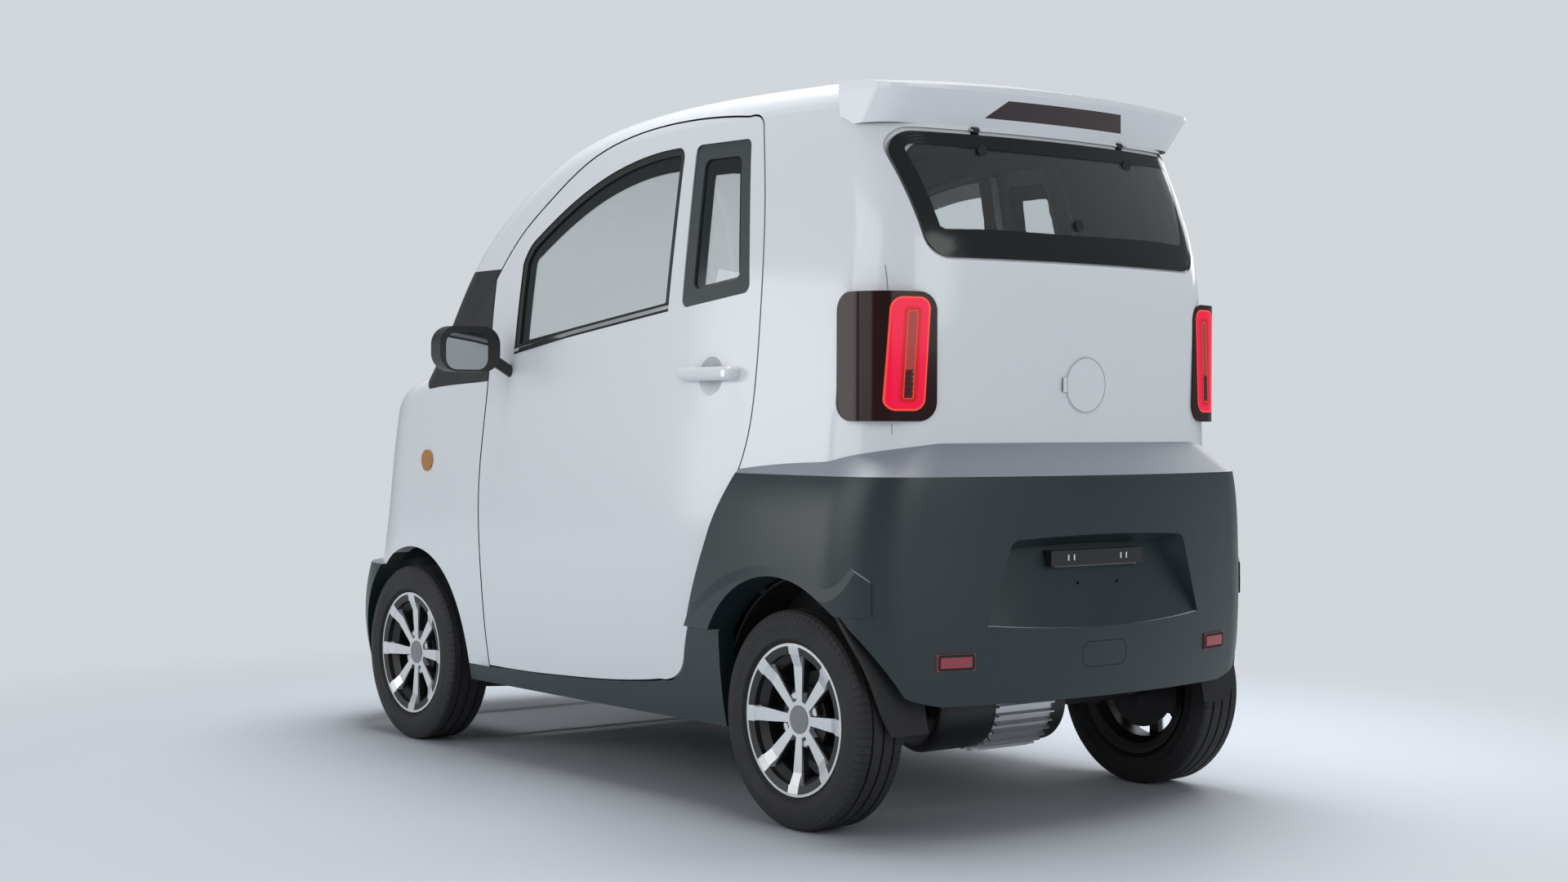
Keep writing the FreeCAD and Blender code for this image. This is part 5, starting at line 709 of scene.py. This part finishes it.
# Rims: cast alloy, black in the pockets between the eight spokes, with the faces of the
# spokes and the lip turned bright on a lathe; four chrome bolts and a plain grey cap. Each
# spoke slopes out to the lip at its end.
def rim_material(place):
    """Alloy for the two rims of one axle: turned faces are told by radius and depth."""
    turned_color, cap_color = (0.74, 0.76, 0.78), (0.22, 0.225, 0.23)
    pocket_color = (0.014, 0.014, 0.015)
    half_the_spokes = 4.0
    spoke_face, lip_face, stud_face = 0.5765, 0.575, 0.5640
    ring_radius, lip_radius, cap_radius = 0.140, 0.1632, 0.0318
    spoke_half = 0.0172
    material, shader = new_material("turned_alloy_" + place, turned_color, 0.3)
    tree = material.node_tree
    at = polar(material, place)
    beside = math_node(tree, "ABSOLUTE", math_node(
        tree, "SINE", math_node(tree, "MULTIPLY", at["Turn"], half_the_spokes)))
    beside = math_node(tree, "MULTIPLY", beside,
                       math_node(tree, "MULTIPLY", at["Radius"], 1 / half_the_spokes))
    run_out = math_node(tree, "MAXIMUM", ramp(tree, at["Radius"], ring_radius, 0.139),
                        ramp(tree, beside, spoke_half, 0.0168))
    spokes = math_node(tree, "MULTIPLY", ramp(tree, at["Across"], spoke_face, 0.5775), run_out)
    lip = math_node(tree, "MULTIPLY", ramp(tree, at["Radius"], lip_radius, 0.1636),
                    ramp(tree, at["Across"], lip_face, 0.578))
    bright = math_node(tree, "MAXIMUM", spokes, lip)
    stud_circle = math_node(tree, "MULTIPLY", ramp(tree, at["Radius"], 0.0400, 0.0405),
                            ramp(tree, at["Radius"], 0.0610, 0.0605))
    studs = math_node(tree, "MULTIPLY", ramp(tree, at["Across"], stud_face, 0.5645),
                      stud_circle)
    bright = math_node(tree, "MAXIMUM", bright, studs)
    cap = ramp(tree, at["Radius"], cap_radius, 0.0315)
    grey = mixed(tree, cap, turned_color, cap_color)
    color = mixed(tree, bright, pocket_color, grey)
    tree.links.new(color, shader.inputs["Base Color"])
    metal = math_node(tree, "MULTIPLY", math_node(tree, "MULTIPLY", bright, 0.55),
                      math_node(tree, "SUBTRACT", 1.0, cap))
    tree.links.new(metal, shader.inputs["Metallic"])
    rough = math_node(tree, "SUBTRACT", 0.42, math_node(tree, "MULTIPLY", bright, 0.16))
    tree.links.new(rough, shader.inputs["Roughness"])
    marks = tree.nodes.new("ShaderNodeTexNoise")
    marks.noise_dimensions = "1D"
    marks.inputs["Scale"].default_value = 2600.0
    tree.links.new(at["Radius"], marks.inputs["W"])
    bump = tree.nodes.new("ShaderNodeBump")
    bump.inputs["Distance"].default_value = 0.0003
    tree.links.new(math_node(tree, "MULTIPLY", bright, 0.35), bump.inputs["Strength"])
    tree.links.new(marks.outputs["Fac"], bump.inputs["Height"])
    tree.links.new(bump.outputs["Normal"], shader.inputs["Normal"])
    return material


# The two ends of a spoke's sloped outer part: radius, distance out from the middle of the
# car, half the width.
spoke_run = ((0.118, 0.5828, 0.0142), (0.1505, 0.5948, 0.0160))
spoke_foot = 0.5800
wedge_faces = ((0, 2, 6, 4), (0, 4, 5, 1), (2, 3, 7, 6), (0, 1, 3, 2))
for place in ("front", "rear"):
    turned_alloy = rim_material(place)
    for hand, out in (("left", 1), ("right", -1)):
        wheel = place + "_" + hand
        shown_as("rim_" + wheel, "wheel_" + wheel, turned_alloy)
        bm = bmesh.new()
        for spoke in range(8):
            turn = spoke * pi / 4
            corners = []
            for radius, across, half in spoke_run:
                for side in (-1, 1):
                    for depth in (across, spoke_foot):
                        along = radius * cos(turn) - side * half * sin(turn)
                        up = radius * sin(turn) + side * half * cos(turn)
                        corners.append(bm.verts.new((out * depth, axle_y[place] + along,
                                                     axle_z + up)))
            for face in wedge_faces:
                bm.faces.new([corners[index] for index in face])
        bmesh.ops.recalc_face_normals(bm, faces=bm.faces)
        mesh = bpy.data.meshes.new("spoke_ends_" + wheel)
        bm.to_mesh(mesh)
        bm.free()
        mesh.materials.append(turned_alloy)
        ends = bpy.data.objects.new("spoke_ends_" + wheel, mesh)
        scene.collection.objects.link(ends)
        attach(ends, "wheel_" + wheel)

# Chassis: the welded steel frame, the front suspension bolted to it and the rear axle on
# its trailing arms, all painted satin black.
frame_steel = new_material("frame_steel", (0.03, 0.03, 0.032), 0.5)[0]
for node in ("chassis_frame", "front_suspension", "rear_axle"):
    shown_as(node, "car", frame_steel)

# Motor: a bright body with fins, cast in alloy, between two black painted end covers, which
# are told by their place across the car. It hangs on the rear axle.
core_from, core_to = -0.099, 0.081
cover_color, core_color = (0.010, 0.010, 0.011), (0.66, 0.67, 0.69)
core_metal = 0.85
motor_alloy, motor_shader = new_material("cast_alloy", core_color, 0.36, core_metal)
motor_tree = motor_alloy.node_tree
motor_place = motor_tree.nodes.new("ShaderNodeSeparateXYZ")
motor_tree.links.new(object_place(motor_alloy), motor_place.inputs[0])
core = math_node(motor_tree, "MULTIPLY",
                 ramp(motor_tree, motor_place.outputs["X"], core_from, -0.098),
                 ramp(motor_tree, motor_place.outputs["X"], core_to, 0.080))
motor_tree.links.new(mixed(motor_tree, core, cover_color, core_color),
                     motor_shader.inputs["Base Color"])
motor_tree.links.new(math_node(motor_tree, "MULTIPLY", core, core_metal),
                     motor_shader.inputs["Metallic"])
shown_as("drive_motor", "car", motor_alloy)

# Hinges, knuckles and battery: the hinges of the doors and of the rear window and the two
# steered knuckles are bare zinc-plated steel; the battery is one closed grey case.
bright_steel = new_material("bright_steel", (0.45, 0.46, 0.48), 0.35, 1.0)[0]
for node in ("door_hinges", "hatch_hinges"):
    shown_as(node, "car", bright_steel)
for hand in ("left", "right"):
    shown_as("knuckle_" + hand, "steer_" + hand, bright_steel)
battery_case = new_material("battery_case", (0.05, 0.055, 0.06), 0.6)[0]
shown_as("battery_pack", "car", battery_case)

# Seats: two bucket seats of dark woven cloth over foam. Each is blown up a little by a
# cloth simulation from its plain CAD form, so that its faces crown between the edges.
weave_scale = 325.0
foam_reach = 0.007
foam_cell = 0.011
foam_pressure = 4.0
foam_moments = 15
seat_cloth, seat_shader = new_material("seat_cloth", (0.035, 0.036, 0.040), 0.9)
seat_shader.inputs["Sheen Weight"].default_value = 0.25
seat_tree = seat_cloth.node_tree
weave = seat_tree.nodes.new("ShaderNodeTexWave")
weave.inputs["Scale"].default_value = weave_scale
weave.inputs["Distortion"].default_value = 1.5
seat_tree.links.new(object_place(seat_cloth), weave.inputs["Vector"])
seat_bump = seat_tree.nodes.new("ShaderNodeBump")
seat_bump.inputs["Strength"].default_value = 0.2
seat_bump.inputs["Distance"].default_value = 0.0005
seat_tree.links.new(weave.outputs["Fac"], seat_bump.inputs["Height"])
seat_tree.links.new(seat_bump.outputs["Normal"], seat_shader.inputs["Normal"])


def applied(piece):
    """The mesh of a piece with its modifiers worked in."""
    bpy.context.view_layer.update()
    shape = piece.evaluated_get(bpy.context.evaluated_depsgraph_get())
    mesh = bpy.data.meshes.new_from_object(shape)
    piece.modifiers.clear()
    piece.data = mesh


seats = bpy.data.objects.new("seats_padded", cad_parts["seats"].data.copy())
seats.data.materials.clear()
seats.data.materials.append(seat_cloth)
scene.collection.objects.link(seats)
remesh = seats.modifiers.new("even_mesh", "REMESH")
remesh.mode = "VOXEL"
remesh.voxel_size = foam_cell
applied(seats)
start = [vert.co.copy() for vert in seats.data.vertices]
cloth = seats.modifiers.new("padding", "CLOTH")
cloth.settings.quality = 4
cloth.settings.mass = 0.3
cloth.settings.tension_stiffness = 25.0
cloth.settings.use_pressure = True
cloth.settings.uniform_pressure_force = foam_pressure
cloth.settings.effector_weights.gravity = 0.0
cloth.collision_settings.use_collision = False
for moment in range(1, foam_moments + 1):
    scene.frame_set(moment)
applied(seats)
scene.frame_set(1)
for vert, before in zip(seats.data.vertices, start):
    move = vert.co - before
    if move.length > foam_reach:
        vert.co = before + move * (foam_reach / move.length)
relax = seats.modifiers.new("soft_edges", "SMOOTH")
relax.factor = 0.5
relax.iterations = 4
finer = seats.modifiers.new("finer", "SUBSURF")
finer.levels = finer.render_levels = 1
applied(seats)
for polygon in seats.data.polygons:
    polygon.use_smooth = True
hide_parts("seats")
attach(seats, "car")

# Bumper lines: the gap round the tow cover, drawn as a dark line of painted shade, and the
# black frames of the two reflectors. Each line is a ribbon dropped straight onto the skin
# below it and lifted a little.
def skin_of(*nodes):
    """A search tree of the surfaces of some CAD nodes."""
    bm = bmesh.new()
    for node in nodes:
        bm.from_mesh(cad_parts[node].data)
    tree = BVHTree.FromBMesh(bm)
    bm.free()
    return tree


def landed(tree, start, direction, lift):
    """The place where a point meets a surface when it is dropped along a direction."""
    beyond_the_car = 3.0
    direction = Vector(direction)
    start = Vector(start)
    drop = start - direction * (beyond_the_car + start.dot(direction))
    found = tree.ray_cast(drop, direction)[0]
    if found is None:
        raise ValueError("no surface below %s" % (tuple(start),))
    return found - direction * lift


def added(name, bm, material, body, slot):
    """A piece of the scene's own that stands for no CAD node."""
    bmesh.ops.recalc_face_normals(bm, faces=bm.faces)
    for face in bm.faces:
        face.smooth = True
    mesh = bpy.data.meshes.new(name)
    bm.to_mesh(mesh)
    bm.free()
    mesh.materials.append(material)
    mesh.set_sharp_from_angle(angle=radians(35))
    piece = bpy.data.objects.new(name, mesh)
    scene.collection.objects.link(piece)
    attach(piece, body)


def line_on(bm, tree, path, direction, width, lift, closed=False):
    """A ribbon along a path of points, laid on a surface seen along a direction."""
    step_length = 0.012
    direction = Vector(direction)
    points = [Vector(point) for point in path]
    if closed:
        points.append(points[0])
    dense = []
    for first, second in zip(points, points[1:]):
        steps = max(1, int((second - first).length / step_length))
        dense += [first.lerp(second, step / steps) for step in range(steps)]
    dense += [] if closed else [points[-1]]
    count = len(dense)
    rows = []
    for index, point in enumerate(dense):
        before = dense[(index - 1) % count] if closed or index else point
        after = dense[(index + 1) % count] if closed or index < count - 1 else point
        across = (after - before).cross(direction).normalized() * width / 2
        rows.append([bm.verts.new(landed(tree, point + across * sign, direction, lift))
                     for sign in (-1, 1)])
    pairs = zip(rows, rows[1:] + rows[:1]) if closed else zip(rows, rows[1:])
    for first, second in pairs:
        bm.faces.new((first[0], first[1], second[1], second[0]))


def rounded(x0, x1, z0, z1, corner, y=0.0):
    """Points round an upright rounded rectangle."""
    points = []
    for x, z, start in ((x1 - corner, z1 - corner, 0), (x0 + corner, z1 - corner, 90),
                        (x0 + corner, z0 + corner, 180), (x1 - corner, z0 + corner, 270)):
        for step in range(6):
            turn = radians(start + step * 18)
            points.append((x + corner * cos(turn), y, z + corner * sin(turn)))
    return points


back = (0, -1, 0)
tow_cover, tow_corner, gap_width = (-0.064, 0.074, 0.360, 0.416), 0.022, 0.0022
reflector_ends, reflector_foot, reflector_top = (0.370, 0.451), 0.3735, 0.4025
reflector_corner, reflector_frame = 0.003, 0.006
# One near-black colour: painted shade in the tow-cover gap, and the real black of the reflector
# frames and of the belt seals.
gap_shade_and_black_trim = new_material("painted_gap_shade_and_black_trim", (0.006, 0.008, 0.009), 0.7)[0]
bumper_skin = skin_of("rear_bumper")
reflector_skin = skin_of("rear_reflectors")
bm = bmesh.new()
line_on(bm, bumper_skin, rounded(*tow_cover, tow_corner), back, gap_width, 0.0002, True)
for side in (-1, 1):
    x0, x1 = sorted(side * end for end in reflector_ends)
    frame_line = rounded(x0, x1, reflector_foot, reflector_top, reflector_corner)
    line_on(bm, reflector_skin, frame_line, back, reflector_frame, 0.0004, True)
added("bumper_lines", bm, gap_shade_and_black_trim, "car", "black_rubber")

# Tail seams: the fine ring pressed into the charging cover and the joints of the tail
# wall's side strips above and below the lamps, drawn as grey lines of painted shade.
cap_radius, cap_height = 0.0615, 0.98685
seam_x, seam_width = 0.4946, 0.0014
seam_runs = ((1.243, 1.188), (0.898, 0.876))
# Painted shade: the grey lines stand in for the shade in the pressed ring and in the joints.
painted_seam_shade = new_material("seam_shadow", (0.20, 0.215, 0.235), 0.6)[0]
bm = bmesh.new()
circle = [(cap_radius * cos(turn * pi / 30), 0, cap_height + cap_radius * sin(turn * pi / 30))
          for turn in range(60)]
line_on(bm, skin_of("charge_flap"), circle, back, seam_width, 0.0003, True)
added("charge_cap_line", bm, painted_seam_shade, "charge_cover", "black_rubber")
tail_skin = skin_of("body_shell")
bm = bmesh.new()
for side in (-1, 1):
    for top, foot in seam_runs:
        line_on(bm, tail_skin, [(side * seam_x, 0, top), (side * seam_x, 0, foot)], back,
                seam_width, 0.0002)
added("tail_wall_seams", bm, painted_seam_shade, "car", "black_rubber")

# Plate-lamp trim: a bright strip under the lamp housing, and the two bright edges of each
# of its two lenses.
strip_left, strip_right, strip_height, strip_width = -0.139, 0.125, 0.5825, 0.0035
lens_x, lens_half, lens_edge = 0.083, 0.009, 0.004
lens_foot, lens_top = 0.596, 0.609
chrome = new_material("chrome_trim", (0.80, 0.81, 0.83), 0.12, 1.0)[0]
lamp_skin = skin_of("plate_lamp")
bm = bmesh.new()
strip = [(strip_left, 0, strip_height), (strip_right, 0, strip_height)]
line_on(bm, bumper_skin, strip, back, strip_width, 0.003)
for lens in (-lens_x, lens_x):
    for x in (lens - lens_half, lens + lens_half):
        line_on(bm, lamp_skin, [(x, 0, lens_foot), (x, 0, lens_top)], back, lens_edge, 0.0006)
added("plate_lamp_trim", bm, chrome, "car", "bright_steel")

# Door fittings: a black belt seal with a chrome strip on it under each front window, a lock
# barrel in the end of each handle, and the silvered glass let into each mirror.
belt = [(0, -0.262, 1.087), (0, 0.017, 1.127), (0, 0.433, 1.177)]
lock_place, lock_radius, lock_depth = (0, 0.716, 1.0132), 0.0088, 0.0025
mirror_ends, mirror_foot, mirror_top = (0.664, 0.788), 1.034, 1.130
mirror_corner, mirror_y = 0.030, -0.2386
mirror_glass = new_material("silvered_glass", (0.42, 0.44, 0.45), 0.03, 1.0)[0]
for hand, side in (("left", 1), ("right", -1)):
    inwards = (-side, 0, 0)
    door_skin = skin_of("door_" + hand, "window_trim_" + hand, "door_glass_" + hand)
    for name, width, lift, material, slot in (
            ("belt_seal_", 0.020, 0.0012, gap_shade_and_black_trim, "black_rubber"),
            ("belt_strip_", 0.009, 0.0022, chrome, "bright_steel")):
        bm = bmesh.new()
        line_on(bm, door_skin, belt, inwards, width, lift)
        added(name + hand, bm, material, "door_" + hand, slot)
    lock = landed(skin_of("door_handle_" + hand), lock_place, inwards, 0.0)
    bm = bmesh.new()
    turn = Matrix.Translation(lock) @ Matrix.Rotation(pi / 2, 4, "Y")
    bmesh.ops.create_cone(bm, cap_ends=True, segments=32, radius1=lock_radius,
                          radius2=lock_radius, depth=lock_depth, matrix=turn)
    added("lock_barrel_" + hand, bm, chrome, "door_" + hand, "bright_steel")
    bm = bmesh.new()
    x0, x1 = sorted(side * end for end in mirror_ends)
    outline_points = rounded(x0, x1, mirror_foot, mirror_top, mirror_corner, mirror_y)
    bm.faces.new([bm.verts.new(point) for point in outline_points])
    added("mirror_glass_" + hand, bm, mirror_glass, "door_" + hand, "bright_steel")
